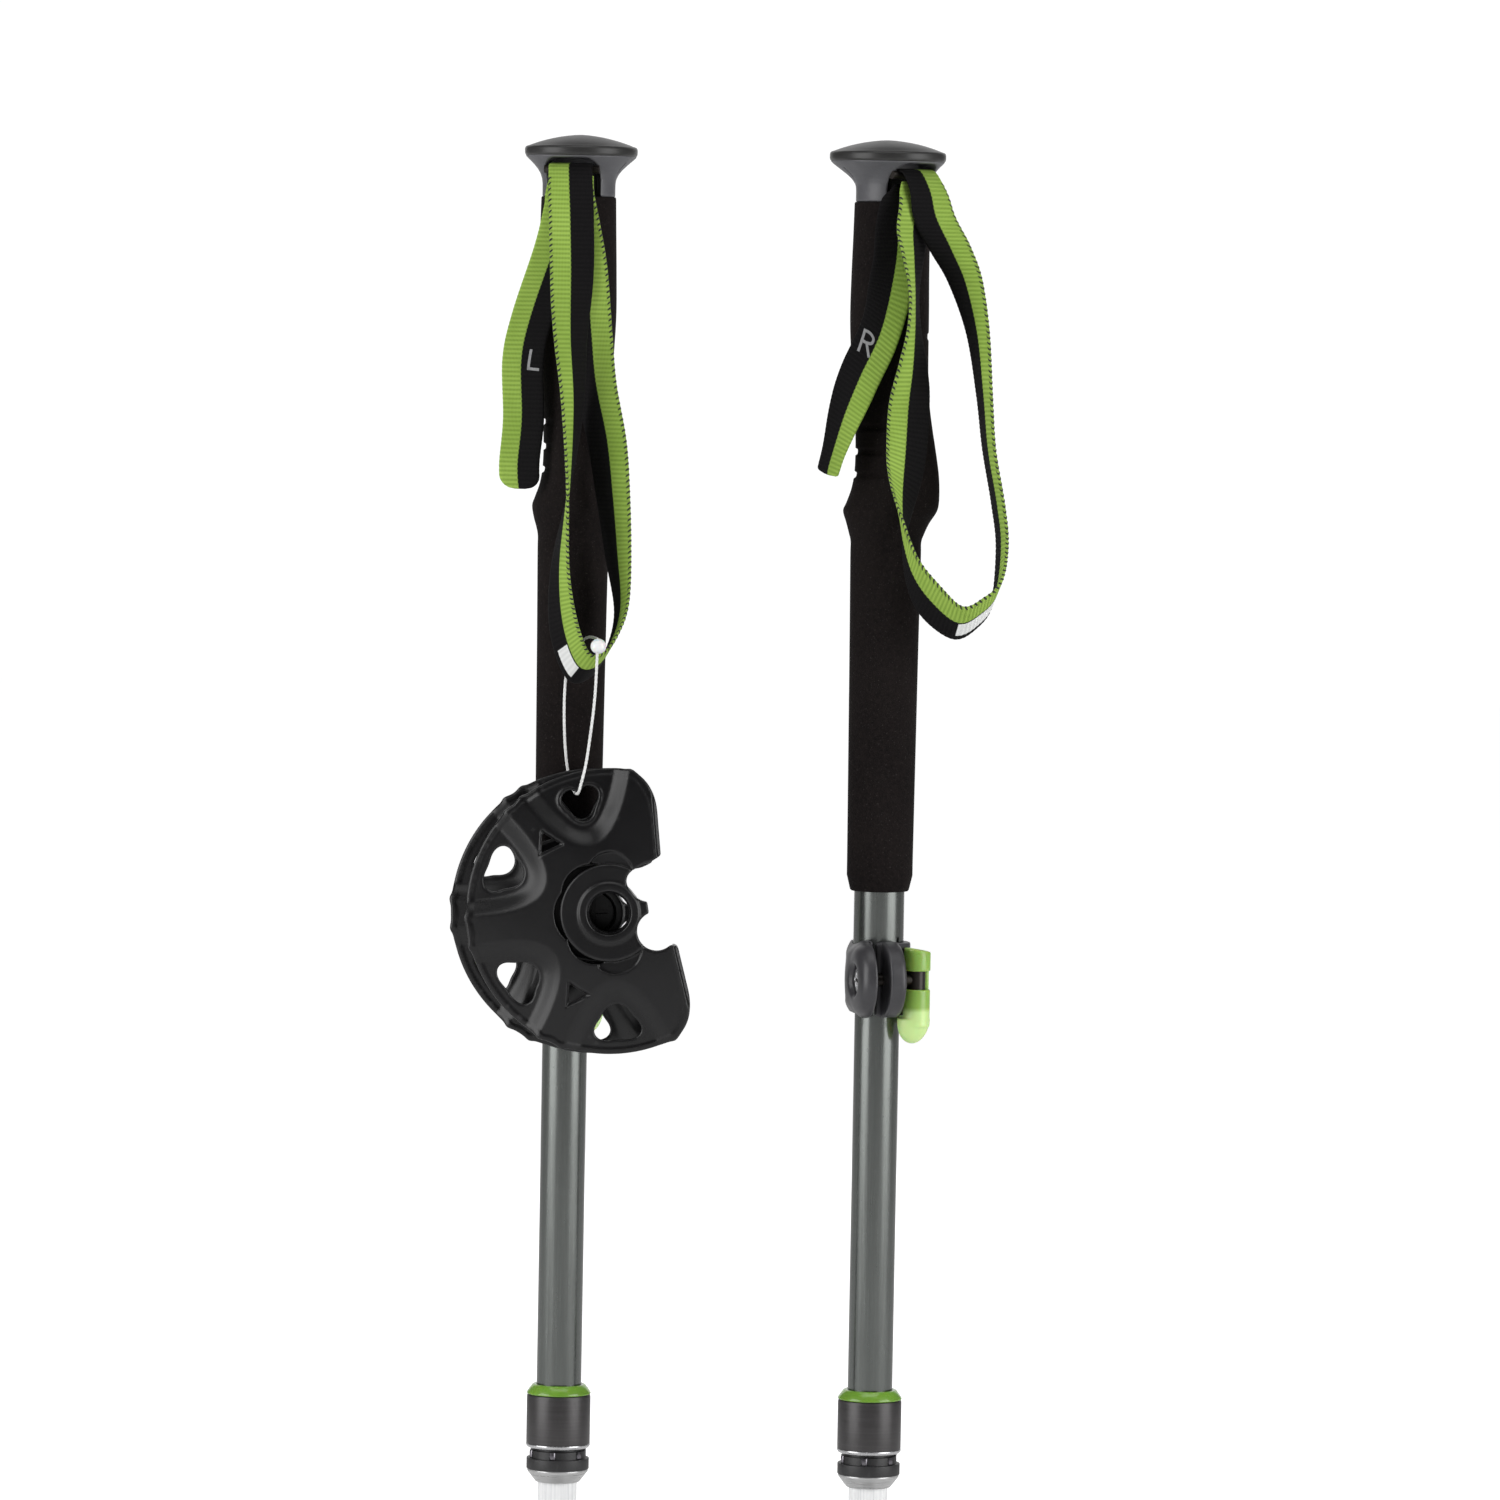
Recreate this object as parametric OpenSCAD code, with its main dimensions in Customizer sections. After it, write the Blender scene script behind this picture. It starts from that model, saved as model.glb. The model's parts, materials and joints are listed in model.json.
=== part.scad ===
// A pair of three-section trekking poles, upright and side by side, pushed almost together.
// Units are millimetres. +X is to the right, +Y points away from the viewer, +Z is up.
// The origin is on the left pole's axis, at the height where the palm holds the grip.
// Inside the modules a height is measured up from the points of the tips, and each pole
// stands on its own axis; on_pole() moves it to its place.

/* [Pair] */
// Distance between the two poles' axes
pole_gap = 111.5; // [100:0.5:200]
// Height of the palm's middle above the points of the tips
palm_h = 551; // [530:1:570]
// Turn of the left head's strap slot, from facing the viewer towards +X, in degrees
left_head_turn = -12; // [-15:1:-9]
// Turn of the right head's strap slot, in degrees
right_head_turn = 40; // [37:1:43]
// Turn of the left hand grip's palm side, in degrees
left_grip_turn = 0; // [-10:1:10]
// Turn of the right hand grip's palm side, in degrees
right_grip_turn = 60; // [50:1:70]
// Turn of the left clamp's ears, in degrees
left_clamp_turn = 104; // [95:1:110]
// Turn of the right clamp's ears, in degrees
right_clamp_turn = 14; // [0:1:30]

/* [Shafts] */
// Outer diameter of the upper shaft
upper_d = 18; // [17.7:0.1:18.6]
// Outer diameter of the middle shaft
mid_d = 16; // [15.7:0.1:16.4]
// Outer diameter of the lower shaft
lower_d = 14; // [13.4:0.1:14.4]
// Radial gap between a shaft and the shaft or bore that it slides in
slide_gap = 0.08; // [0.05:0.01:0.1]
// Wall of the lower shaft
lower_wall = 0.9; // [0.6:0.1:1.5]
// Height of the upper shaft's lower end
upper_z = 308.8; // [308.4:0.1:310]
// Height of the upper shaft's top
upper_top = 597; // [594:1:598]
// Height of the middle shaft's lower end
mid_z = 164; // [163:0.5:165]
// Height of the middle shaft's top
mid_top = 560; // [540:1:562]
// Height of the lower shaft's lower end
lower_z = 42; // [41:0.5:44]
// Height of the lower shaft's top
lower_top = 545; // [500:1:547]

/* [Head] */
// Radius of the oval cap across the palm
cap_r = 19.9; // [19:0.1:21]
// How much longer the oval cap is from palm to fingers
cap_stretch = 2.6; // [0:0.1:4]
// Shift of the cap towards the fingers
cap_shift = 2.8; // [0:0.1:3.5]
// Height of the cap's top
cap_top = 620; // [619:0.5:624]
// Width of the strap slot
slot_w = 19; // [18.4:0.1:20]
// Radius of the pin that the strap turns on
strap_pin_r = 1.5; // [1.2:0.1:1.8]

/* [Hand grip] */
// Radius of the foam sleeve below the hand grip
sleeve_r = 12.6; // [12:0.1:13]
// Radius of the foam sleeve at its lower end
sleeve_end_r = 11.7; // [11:0.1:12]

/* [Clamp] */
// Radius of the two round ears
ear_r = 13.3; // [12.5:0.1:13.4]
// Outer radius of the clamp's collar
clamp_r = 11.6; // [11:0.1:11.8]
// Radius of the lever's cam
cam_r = 4.8; // [4.6:0.1:4.8]
// Radius of the barrel that the lever turns on
barrel_r = 3; // [2.6:0.1:3.2]
// Radius of the clamp screw's shank
screw_r = 2; // [1.6:0.1:2.2]

/* [Collar joint] */
// Outer radius of the release collar
collar_r = 11.4; // [11.3:0.1:11.8]
// Radius of the lock housing's barrel inside the collar
housing_r = 9; // [8.9:0.05:9.1]
// Travel of the release collar
collar_travel = 3.6; // [2:0.1:3.6]

/* [Tip] */
// Radius over the screw thread that carries a basket
thread_r = 8; // [7.8:0.1:8.2]
// Radius of the trekking basket
trek_r = 26; // [22:1:30]

/* [Snow baskets] */
// Radius of a snow basket
snow_r = 51; // [48:1:54]
// Distance from a snow basket's hub to the straight edge of its mouth
snow_mouth = 22.5; // [22:0.5:24]
// Depth of a snow basket from hub end to hub end
snow_depth = 12; // [10:0.5:12]
// Turn of the front snow basket's mouth above +X, in degrees
snow_turn = 10; // [8:1:12]
// Turn of the rear snow basket's mouth above +X, in degrees
rear_turn = 2.5; // [1:0.5:4]

/* [Straps] */
// Width of the webbing
strap_w = 16; // [15:0.5:17]
// Thickness of the webbing
strap_t = 1.2; // [0.9:0.1:1.3]

/* [Hidden] */
SIDES = ["left", "right"];
HALF = ["grip_head", "top_cover", "strap_wedge", "strap_pin", "foam_grip", "upper_shaft",
  "clamp_body", "clamp_screw", "clamp_barrel", "clamp_washer", "clamp_lever", "mid_shaft",
  "mid_bush", "lock_housing", "collar_ring", "release_collar", "collar_spring", "lock_balls",
  "nose_ring", "lower_shaft", "lower_bush", "flex_tip", "carbide_tip", "trekking_basket",
  "strap", "strap_tail"];

$fn = 64;
left = 0;
right = 1;
head_turn = [left_head_turn, right_head_turn];
grip_turn = [left_grip_turn, right_grip_turn];
clamp_turn = [left_clamp_turn, right_clamp_turn];

upper_r = upper_d / 2;
mid_r = mid_d / 2;
lower_r = lower_d / 2;
upper_bore = mid_r + slide_gap;
mid_bore = lower_r + slide_gap;
lower_bore = lower_r - lower_wall;

// The head, from the foam up
neck_z = 598;
rim_z = 612.2;
rim_top = 615.7;
pin_out = 11;
pin_z = 607.5;
eye_r = 2.3;
spigot_z = 580;
slot_z = 598.5;
slot_top = 611.6;

// The clamp, in its own frame: the ears point to -Y and the screw lies along X
clamp_z = 308.2;
clamp_top = 334.8;
screw_z = (clamp_z + clamp_top) / 2;
screw_out = 12;
left_ear = [-12.3, -6.3];
right_ear = [-1.7, 4.3];
barrel_x = 11.3;
lever_z = 304.6;
lever_top = 333.5;
lever_gap = 3.4;
arm_in = 12.3;
arm_out = 15;
arm_end = 118;

// The collar joint, from the nose up
nose_z = 138.3;
flange_z = 143;
rib_z = 146.9;
spring_z = 149.7;
collar_z = 150.8;
shoulder_z = 157;
ball_z = 160;
collar_top = 169.7;
ring_z = 169.9;
ring_top = 173.4;
rib_r = 10.4;
skirt_in = 10.75;

// The tip
tip_top = 62;
tip_bottom = 9;
carbide_r = 3;
foot_r = 5;
foot_top = 21;
trek_z = 42.5;

// Shape of the hand grip: height, half width, depth to the fingers, depth to the palm
GRIP = [
  [598, 13.3, 13.4, 13.5], [585, 13.6, 13.7, 13.6], [572, 13.9, 14.1, 13.6],
  [557, 14.1, 14.3, 13.8], [545, 13.6, 13.8, 14.0], [535, 12.9, 13.2, 14.4],
  [526, 12.0, 12.4, 15.4], [518, 11.4, 11.8, 16.9], [510, 11.1, 11.6, 18.6],
  [502, 11.3, 11.8, 20.0], [496, 12.2, 12.8, 20.3], [491, 13.9, 14.5, 19.8],
  [488, 14.8, 15.7, 18.6], [484, 14.2, 14.4, 15.6], [480, 13.1, 13.3, 13.6],
  [477, sleeve_r, sleeve_r, sleeve_r], [358, sleeve_end_r, sleeve_end_r, sleeve_end_r],
  [352.5, 10.4, 10.4, 10.4]];

// Each station of a strap is its stitched edge and its plain edge
LEFT_LOOP = [
  [[-10, -9.3, 609.2], [5.4, -12.4, 609.2]],
  [[-10.4, -12.2, 608.6], [4.8, -15.4, 608.6]],
  [[-10.4, -14.8, 605.6], [4.9, -17.8, 605.6]],
  [[-10.2, -17.8, 600.5], [5.2, -19.4, 600.5]],
  [[-10, -21, 590], [6, -20.5, 590]],
  [[-9, -24, 572], [6, -20.5, 572]],
  [[-7, -31, 548], [4, -20.5, 548]],
  [[-4, -34.5, 524], [3.5, -20.5, 524]],
  [[-1.5, -38.5, 495], [-1, -22.5, 495]],
  [[-0.5, -38, 467], [-7, -23.5, 467]],
  [[2.5, -36, 449], [-7, -24.5, 444]],
  [[7, -33, 437.5], [-1, -23.5, 427.5]],
  [[12, -31, 437], [6.5, -20.5, 427.5]],
  [[17, -30, 444], [12.5, -17.5, 436.5]],
  [[20.5, -29, 455], [15.5, -14.5, 451]],
  [[21, -28.5, 474], [11.5, -16, 473]],
  [[20, -29.5, 493], [8.5, -20, 493]],
  [[18.5, -26.5, 512], [5, -19.5, 512]],
  [[14.5, -20.5, 532], [0, -16.5, 532]],
  [[13, -18.8, 550], [-2.5, -16.3, 550]],
  [[11, -18.2, 573], [-5, -16.8, 573]],
  [[8, -18, 589], [-8, -17, 589]],
  [[6, -17.4, 597], [-9.5, -16.6, 597]],
  [[5.3, -16, 602], [-10, -13.6, 602]],
  [[5.4, -14, 605], [-10, -11, 605]]];
LEFT_TAIL = [
  [[-9.8, -8.6, 604], [5.2, -11.6, 604]],
  [[-10.8, -11, 602], [4.4, -13.6, 602]],
  [[-11.5, -12.8, 598.5], [3.8, -15.6, 598.5]],
  [[-12, -12.8, 594], [3.5, -15.6, 594]],
  [[-15, -12.5, 580], [0, -15.6, 580]],
  [[-22.5, -11, 556], [-8, -15.5, 556]],
  [[-26, -10, 540], [-11, -15.5, 540]],
  [[-25.5, -10, 519], [-10.5, -16, 519]],
  [[-26.5, -9.5, 503], [-12, -16, 503]],
  [[-26, -9.5, 494], [-11.5, -16, 494]]];
RIGHT_LOOP = [
  [[13.2, -3.3, 609.2], [1, -13.6, 609.2]],
  [[15, -5.6, 608.6], [3, -15.9, 608.6]],
  [[17, -7.8, 605.6], [4.7, -17.8, 605.6]],
  [[19.5, -11, 600.5], [6.2, -19.3, 600.5]],
  [[22.5, -15, 592], [7.5, -19, 592]],
  [[27.5, -22, 581], [14, -18, 581]],
  [[31.5, -25, 570], [20.5, -15.5, 570]],
  [[34.5, -27.5, 552], [27, -14, 552]],
  [[36, -29, 530], [31, -14, 530]],
  [[37.5, -29.5, 511], [33.5, -14, 511]],
  [[41, -30, 492], [37, -14.5, 492]],
  [[42.5, -30.5, 478], [39, -15, 476]],
  [[40.5, -31, 465], [37.5, -18, 456]],
  [[34, -31.5, 458.5], [32, -20.5, 447.5]],
  [[27, -31.5, 456], [24, -21, 443.5]],
  [[19, -31, 463], [13.5, -22, 450.5]],
  [[11, -30, 472], [8, -20, 461]],
  [[5.5, -28.5, 485], [6, -18, 475]],
  [[2, -27, 496], [8, -18.5, 489]],
  [[-0.5, -24.5, 512], [13, -19, 508]],
  [[0, -23.5, 526], [14, -17.5, 526]],
  [[3, -26, 539], [13, -15, 539]],
  [[6, -29, 553], [10.5, -15, 553]],
  [[6.5, -29, 566], [9.5, -15.5, 566]],
  [[4, -26, 580], [11, -14.5, 580]],
  [[2, -23, 588], [12.5, -13, 588]],
  [[2.5, -20, 597], [14.5, -10.5, 597]],
  [[2.5, -17.8, 602], [14.5, -8, 602]],
  [[3, -16, 605], [15, -5.8, 605]]];
RIGHT_TAIL = [
  [[12.6, -4, 604], [0.5, -13.8, 604]],
  [[11.5, -7.5, 602], [-0.5, -15.5, 602]],
  [[9.5, -11.8, 598.5], [-3, -16.4, 598.5]],
  [[8, -13.2, 590], [-4.5, -16.4, 590]],
  [[7, -15, 575], [-5.5, -17, 575]],
  [[3, -17.5, 548], [-10, -15.5, 558]],
  [[-4, -17.5, 531], [-17.5, -13.5, 541]],
  [[-11, -17, 520], [-20, -9, 526]],
  [[-16, -16, 509], [-22, -5.5, 512]],
  [[-18.5, -16, 500], [-24.5, -4, 502]]];

// Route of the string that the snow baskets hang on, from the bead round and back
TAG = [
  [10, -35, 438], [9.3, -38, 420], [7, -40, 400], [5.2, -41, 391.5], [4.2, -38, 388],
  [3.2, -28, 387], [2.2, -16, 387], [0.5, -12.9, 390.5], [-1.2, -14.5, 402], [-1.8, -17, 418],
  [-1, -19, 430], [1.5, -20, 438], [6, -23, 442], [9.5, -29, 442], [10.3, -33, 441]];
tag_r = 0.5;
bead_r = 2.9;
bead_bore = 0.7;

// A curve through the points, n steps from one to the next
function ease(a, b, c, d, t) = 0.5 * (2 * b + (c - a) * t + (2 * a - 5 * b + 4 * c - d) * t * t
  + (3 * b - a - 3 * c + d) * t * t * t);
function curve(p, n) = [
  for (i = [0:len(p) - 2], j = [0:n - 1])
    ease(p[max(i - 1, 0)], p[i], p[i + 1], p[min(i + 2, len(p) - 1)], j / n),
  p[len(p) - 1]];
function unit(v) = v / norm(v);
function along(p, i) = unit(p[min(i + 1, len(p) - 1)] - p[max(i - 1, 0)]);

// A hanging string's own rings: side vectors at each point of the path
function side_of(t) = unit(cross(t, abs(t.y) > 0.8 ? [0, 0, 1] : [0, 1, 0]));

// Triangles that close a row of rings of n points each
function skin(rings, n) = concat(
  [for (i = [1:n - 2]) [0, i + 1, i]],
  [for (k = [0:rings - 2], i = [0:n - 1]) each [
    [k * n + i, k * n + (i + 1) % n, (k + 1) * n + i],
    [k * n + (i + 1) % n, (k + 1) * n + (i + 1) % n, (k + 1) * n + i]]],
  [for (i = [1:n - 2]) [(rings - 1) * n, (rings - 1) * n + i, (rings - 1) * n + i + 1]]);

module on_pole(side) translate([side * pole_gap, 0, -palm_h]) children();
module tube(r_out, r_in, z0, z1) {
  translate([0, 0, z0]) difference() {
    cylinder(r = r_out, h = z1 - z0);
    translate([0, 0, -1]) cylinder(r = r_in, h = z1 - z0 + 2);
  }
}
module disc(r, z0, z1) translate([0, 0, z0]) cylinder(r = r, h = z1 - z0);
module across(r, x0, x1, y, z) translate([x0, y, z]) rotate([0, 90, 0]) cylinder(r = r, h = x1 - x0);
module swept(path, r, n) {
  rings = [for (i = [0:len(path) - 1]) let (t = along(path, i), u = side_of(t), v = cross(t, u))
    for (a = [0:n - 1]) path[i] + r * (cos(360 * a / n) * u + sin(360 * a / n) * v)];
  polyhedron(rings, skin(len(path), n));
}
module ribbon(stations) {
  edge = curve([for (s = stations) s[0]], 3);
  far = curve([for (s = stations) s[1]], 3);
  mid = (edge + far) / 2;
  rings = [for (i = [0:len(mid) - 1])
    let (w = unit(edge[i] - far[i]), n = unit(cross(along(mid, i), w)) * strap_t / 2)
      for (c = [[1, 1], [1, -1], [-1, -1], [-1, 1]]) mid[i] + c[0] * w * strap_w / 2 + c[1] * n];
  polyhedron(rings, skin(len(mid), 4));
}

// Head and hand grip
module cap_oval(r, z0, z1) {
  for (s = [-1, 1]) translate([0, cap_shift + s * cap_stretch / 2, 0]) disc(r, z0, z1);
}
module slot_cut() {
  translate([-slot_w / 2, -30, slot_z]) cube([slot_w, 30 - 4.5, slot_top - 4 - slot_z]);
  hull() for (s = [-1, 1]) translate([s * (slot_w / 2 - 4), -4.5, slot_top - 4])
    rotate([90, 0, 0]) cylinder(r = 4, h = 25.5, $fn = 32);
}
module grip_head(side) {
  color("dimgray") rotate([0, 0, head_turn[side]]) difference() {
    union() {
      rotate_extrude() polygon([[0, neck_z], [13.1, neck_z], [13.1, 602], [13.6, 604.4], [14.3, 606],
        [16, 608.6], [16, rim_z - 1], [0, rim_z - 1]]);
      hull() {
        disc(15.8, 608.3, 608.6, $fn = 48);
        cap_oval(cap_r - 0.4, rim_z - 0.3, rim_z, $fn = 48);
      }
      disc(upper_bore, spigot_z, neck_z + 1);
    }
    slot_cut();
    translate([0, 0, spigot_z - 1]) cylinder(r = 5, h = 12);
    tube(upper_r, upper_bore, upper_top - 1, upper_top + 1);
    across(strap_pin_r, -10.2, 10.2, -pin_out, pin_z);
  }
}
module top_cover(side) {
  color("dimgray") rotate([0, 0, head_turn[side]]) hull() {
    cap_oval(cap_r, rim_z + 0.6, rim_top - 0.5, $fn = 64);
    cap_oval(cap_r - 0.6, rim_z, rim_top, $fn = 64);
    cap_oval(cap_r * 0.72, rim_top, rim_top + 2.4, $fn = 64);
    cap_oval(cap_r * 0.3, rim_top, cap_top, $fn = 64);
  }
}
module strap_wedge(side) {
  color("black") rotate([0, 0, head_turn[side]]) translate([-7.5, -7.6, slot_z])
    cube([15, 2.9, 8]);
}
module strap_pin(side) {
  color("silver") rotate([0, 0, head_turn[side]])
    across(strap_pin_r, -10, 10, -pin_out, pin_z);
}
module foam_grip(side) {
  steps = 28;
  function at(a, g) = [g[1] * cos(a), (sin(a) < 0 ? g[3] : g[2]) * sin(a), g[0]];
  rings = [for (g = [for (i = [len(GRIP) - 1:-1:0]) GRIP[i]], k = [0:steps - 1])
    at(360 * k / steps, g)];
  color([0.12, 0.11, 0.11]) rotate([0, 0, grip_turn[side]]) difference() {
    polyhedron(rings, skin(len(GRIP), steps));
    disc(upper_r, 340, neck_z + 10);
  }
}
module upper_shaft(side) {
  relief = 1.4;
  color([0.25, 0.29, 0.27]) difference() {
    tube(upper_r, upper_bore, upper_z, upper_top);
    rotate([0, 0, clamp_turn[side] + 35]) {
      translate([-0.6, -20, upper_z - 1]) cube([1.2, 20, clamp_top - upper_z + 2]);
      translate([0, 0, clamp_top + 1.6]) rotate([90, 0, 0]) cylinder(r = relief, h = 20);
    }
  }
}

// Lever clamp on the upper shaft
module clamp_body(side) {
  color([0.2, 0.2, 0.2]) rotate([0, 0, clamp_turn[side]]) difference() {
    union() {
      disc(clamp_r, clamp_z, clamp_top);
      across(ear_r, left_ear[0], left_ear[1], -screw_out, screw_z);
      across(ear_r, right_ear[0], right_ear[1], -screw_out, screw_z);
    }
    disc(upper_r, clamp_z - 1, clamp_top + 1);
    translate([left_ear[1], -40, clamp_z - 1])
      cube([right_ear[0] - left_ear[1], 40 - clamp_r + 0.6, clamp_top - clamp_z + 2]);
    translate([-4.7, -20, clamp_z - 1]) cube([1.4, 16, clamp_top - clamp_z + 2]);
    across(screw_r + 0.1, -20, 20, -screw_out, screw_z);
    across(5.2, -20, left_ear[0] + 2.2, -screw_out, screw_z);
  }
}
module clamp_screw(side) {
  color("silver") rotate([0, 0, clamp_turn[side]]) difference() {
    union() {
      across(4.7, left_ear[0] + 0.4, left_ear[0] + 2.2, -screw_out, screw_z);
      across(screw_r, left_ear[0] + 1, barrel_x + 1.5, -screw_out, screw_z);
    }
    for (a = [0, 90]) translate([left_ear[0] - 0.6, -screw_out, screw_z]) rotate([a, 0, 0])
      cube([3.4, 0.9, 5], center = true);
  }
}
module clamp_barrel(side) {
  color("silver") rotate([0, 0, clamp_turn[side]]) difference() {
    translate([barrel_x, -screw_out, 0]) disc(barrel_r, lever_z + 2, lever_top - 2);
    across(screw_r, 0, barrel_x + 1.5, -screw_out, screw_z);
  }
}
module clamp_washer(side) {
  color("silver") rotate([0, 0, clamp_turn[side]]) difference() {
    across(5.6, right_ear[1], barrel_x - cam_r - 0.3, -screw_out, screw_z);
    across(screw_r + 0.1, 0, 20, -screw_out, screw_z);
    disc(clamp_r + 0.1, clamp_z, clamp_top);
  }
}
module clamp_lever(side) {
  arm_start = -36;
  color([0.55, 0.75, 0.3]) rotate([0, 0, clamp_turn[side]]) difference() {
    union() {
      difference() {
        translate([barrel_x, -screw_out, 0]) disc(cam_r, lever_z, lever_top);
        difference() {
          translate([barrel_x, -screw_out, 0])
            disc(cam_r + 1, screw_z - lever_gap, screw_z + lever_gap);
          translate([barrel_x + 0.5, -screw_out + 0.5, lever_z]) cube([10, 10, 30]);
        }
      }
      rotate([0, 0, arm_start]) rotate_extrude(angle = arm_end - arm_start)
        translate([arm_in, lever_z]) square([arm_out - arm_in, lever_top - 3.1 - lever_z]);
      hull() {
        translate([barrel_x + 0.7, -screw_out + 0.7, 0]) disc(4.8, lever_z + 1, lever_z + 7, $fn = 32);
        translate([barrel_x + 1, -screw_out + 1.5, 0]) disc(3.6, lever_z - 6, lever_z - 4, $fn = 32);
      }
    }
    translate([barrel_x, -screw_out, 0]) disc(barrel_r + slide_gap, lever_z + 1.6, lever_top + 1);
  }
}

// Middle section and its collar joint
module bush(r_out, r_in, top, flange, spigot) {
  color("black") {
    disc(r_out, top, top + flange);
    disc(r_in, top - spigot, top);
  }
}
module mid_shaft() color([0.25, 0.29, 0.27]) tube(mid_r, mid_bore, mid_z, mid_top);
module mid_bush() bush(mid_r, mid_bore, mid_top, 3, 7);
module lock_housing() {
  ribs = 6;
  color("gray") difference() {
    union() {
      disc(11.2, flange_z, rib_z);
      disc(rib_r - 0.5, flange_z, spring_z);
      for (i = [0:ribs - 1]) rotate([0, 0, 20 + i * 360 / ribs])
        translate([rib_r - 1.2, -1.05, rib_z - 1]) cube([1.2, 2.1, spring_z - rib_z + 1]);
      disc(housing_r, flange_z, collar_top);
    }
    disc(mid_bore, flange_z - 1, collar_top + 1);
    disc(mid_r, mid_z, collar_top + 1);
    for (i = [0:2]) rotate([0, 0, i * 120]) across(0.85, 0, 20, 0, ball_z);
  }
}
module collar_ring() {
  color([0.5, 0.7, 0.25]) rotate_extrude()
    polygon([[mid_r, ring_z], [collar_r, ring_z], [collar_r, ring_z + 0.6], [9.3, ring_top],
      [mid_r, ring_top]]);
}
module release_collar() {
  tight = housing_r + slide_gap;
  color([0.27, 0.27, 0.26]) rotate_extrude() polygon([[skirt_in, collar_z], [collar_r - 0.4, collar_z],
    [collar_r, collar_z + 1], [collar_r, collar_top], [tight, collar_top], [tight, 165.5],
    [9.9, 164.7], [9.9, 162.3], [tight, 161.5], [tight, shoulder_z], [skirt_in, shoulder_z]]);
}
module collar_spring() {
  turns = 4;
  wire = 0.35;
  low = spring_z + wire + 0.05;
  rise = shoulder_z - spring_z - 2 * wire - 0.5;
  path = [for (i = [0:16 * turns]) let (a = i * 360 / 16)
    [9.9 * cos(a), 9.9 * sin(a), low + rise * i / (16 * turns)]];
  color("silver") swept(path, wire, 6);
}
module lock_balls() {
  color("silver") for (i = [0:2]) rotate([0, 0, i * 120]) translate([8.05, 0, ball_z]) sphere(r = 0.75);
}
module nose_ring() {
  color([0.65, 0.65, 0.65]) rotate_extrude() polygon([[mid_bore + 0.3, nose_z], [7.9, nose_z],
    [10.9, flange_z - 0.8], [10.9, flange_z], [mid_bore + 0.3, flange_z]]);
}

// Lower section
module lower_shaft() color("white") tube(lower_r, lower_bore, lower_z, lower_top);
module lower_bush() bush(lower_r, lower_bore, lower_top, 2.5, 6);
module flex_tip() {
  color("black") difference() {
    rotate_extrude() polygon([[0, tip_bottom], [foot_r - 0.4, tip_bottom], [foot_r, tip_bottom + 0.4],
      [foot_r, foot_top], [6.6, 36], [thread_r - 0.5, 38],
      for (i = [0:4]) let (z = 40 + i * 2.4)
        each [[thread_r - 0.5, z], [thread_r, z + 0.6], [thread_r, z + 1.4], [thread_r - 0.5, z + 2]],
      [thread_r, 53.4], [8.6, 54], [8.6, 60], [8, tip_top], [0, tip_top]]);
    disc(lower_r, lower_z, tip_top + 1);
    disc(carbide_r, tip_bottom - 1, 24);
  }
}
module carbide_tip() {
  color("silver") rotate_extrude() polygon([[0, 1.4], [1.6, 0], [2.2, 0], [2.6, 5],
    [carbide_r, 6], [carbide_r, 24], [0, 24]]);
}
module trekking_basket() {
  holes = 6;
  color("black") difference() {
    union() {
      disc(11, trek_z, trek_z + 9);
      rotate_extrude() polygon([[10, trek_z + 3], [trek_r - 1, trek_z], [trek_r, trek_z + 1],
        [trek_r, trek_z + 3], [trek_r - 1.5, trek_z + 3.4], [10, trek_z + 6]]);
    }
    disc(thread_r, trek_z - 1, trek_z + 12);
    for (i = [0:holes - 1]) rotate([0, 0, i * 360 / holes])
      translate([18, 0, trek_z - 2]) cylinder(r = 3.6, h = 12);
  }
}

// Wrist straps
module strap_eye(side) {
  rotate([0, 0, head_turn[side]]) difference() {
    across(eye_r, -7.8, 7.8, -pin_out, pin_z);
    across(strap_pin_r + slide_gap, -9, 9, -pin_out, pin_z);
  }
}
module strap(side) {
  color([0.5, 0.65, 0.25]) {
    strap_eye(side);
    difference() {
      ribbon(side == left ? LEFT_LOOP : RIGHT_LOOP);
      rotate([0, 0, head_turn[side]]) across(strap_pin_r + slide_gap, -12, 12, -pin_out, pin_z);
    }
  }
}
module strap_tail(side) {
  color([0.5, 0.65, 0.25]) difference() {
    ribbon(side == left ? LEFT_TAIL : RIGHT_TAIL);
    rotate([0, 0, head_turn[side]]) across(eye_r, -12, 12, -pin_out, pin_z);
  }
}

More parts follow.
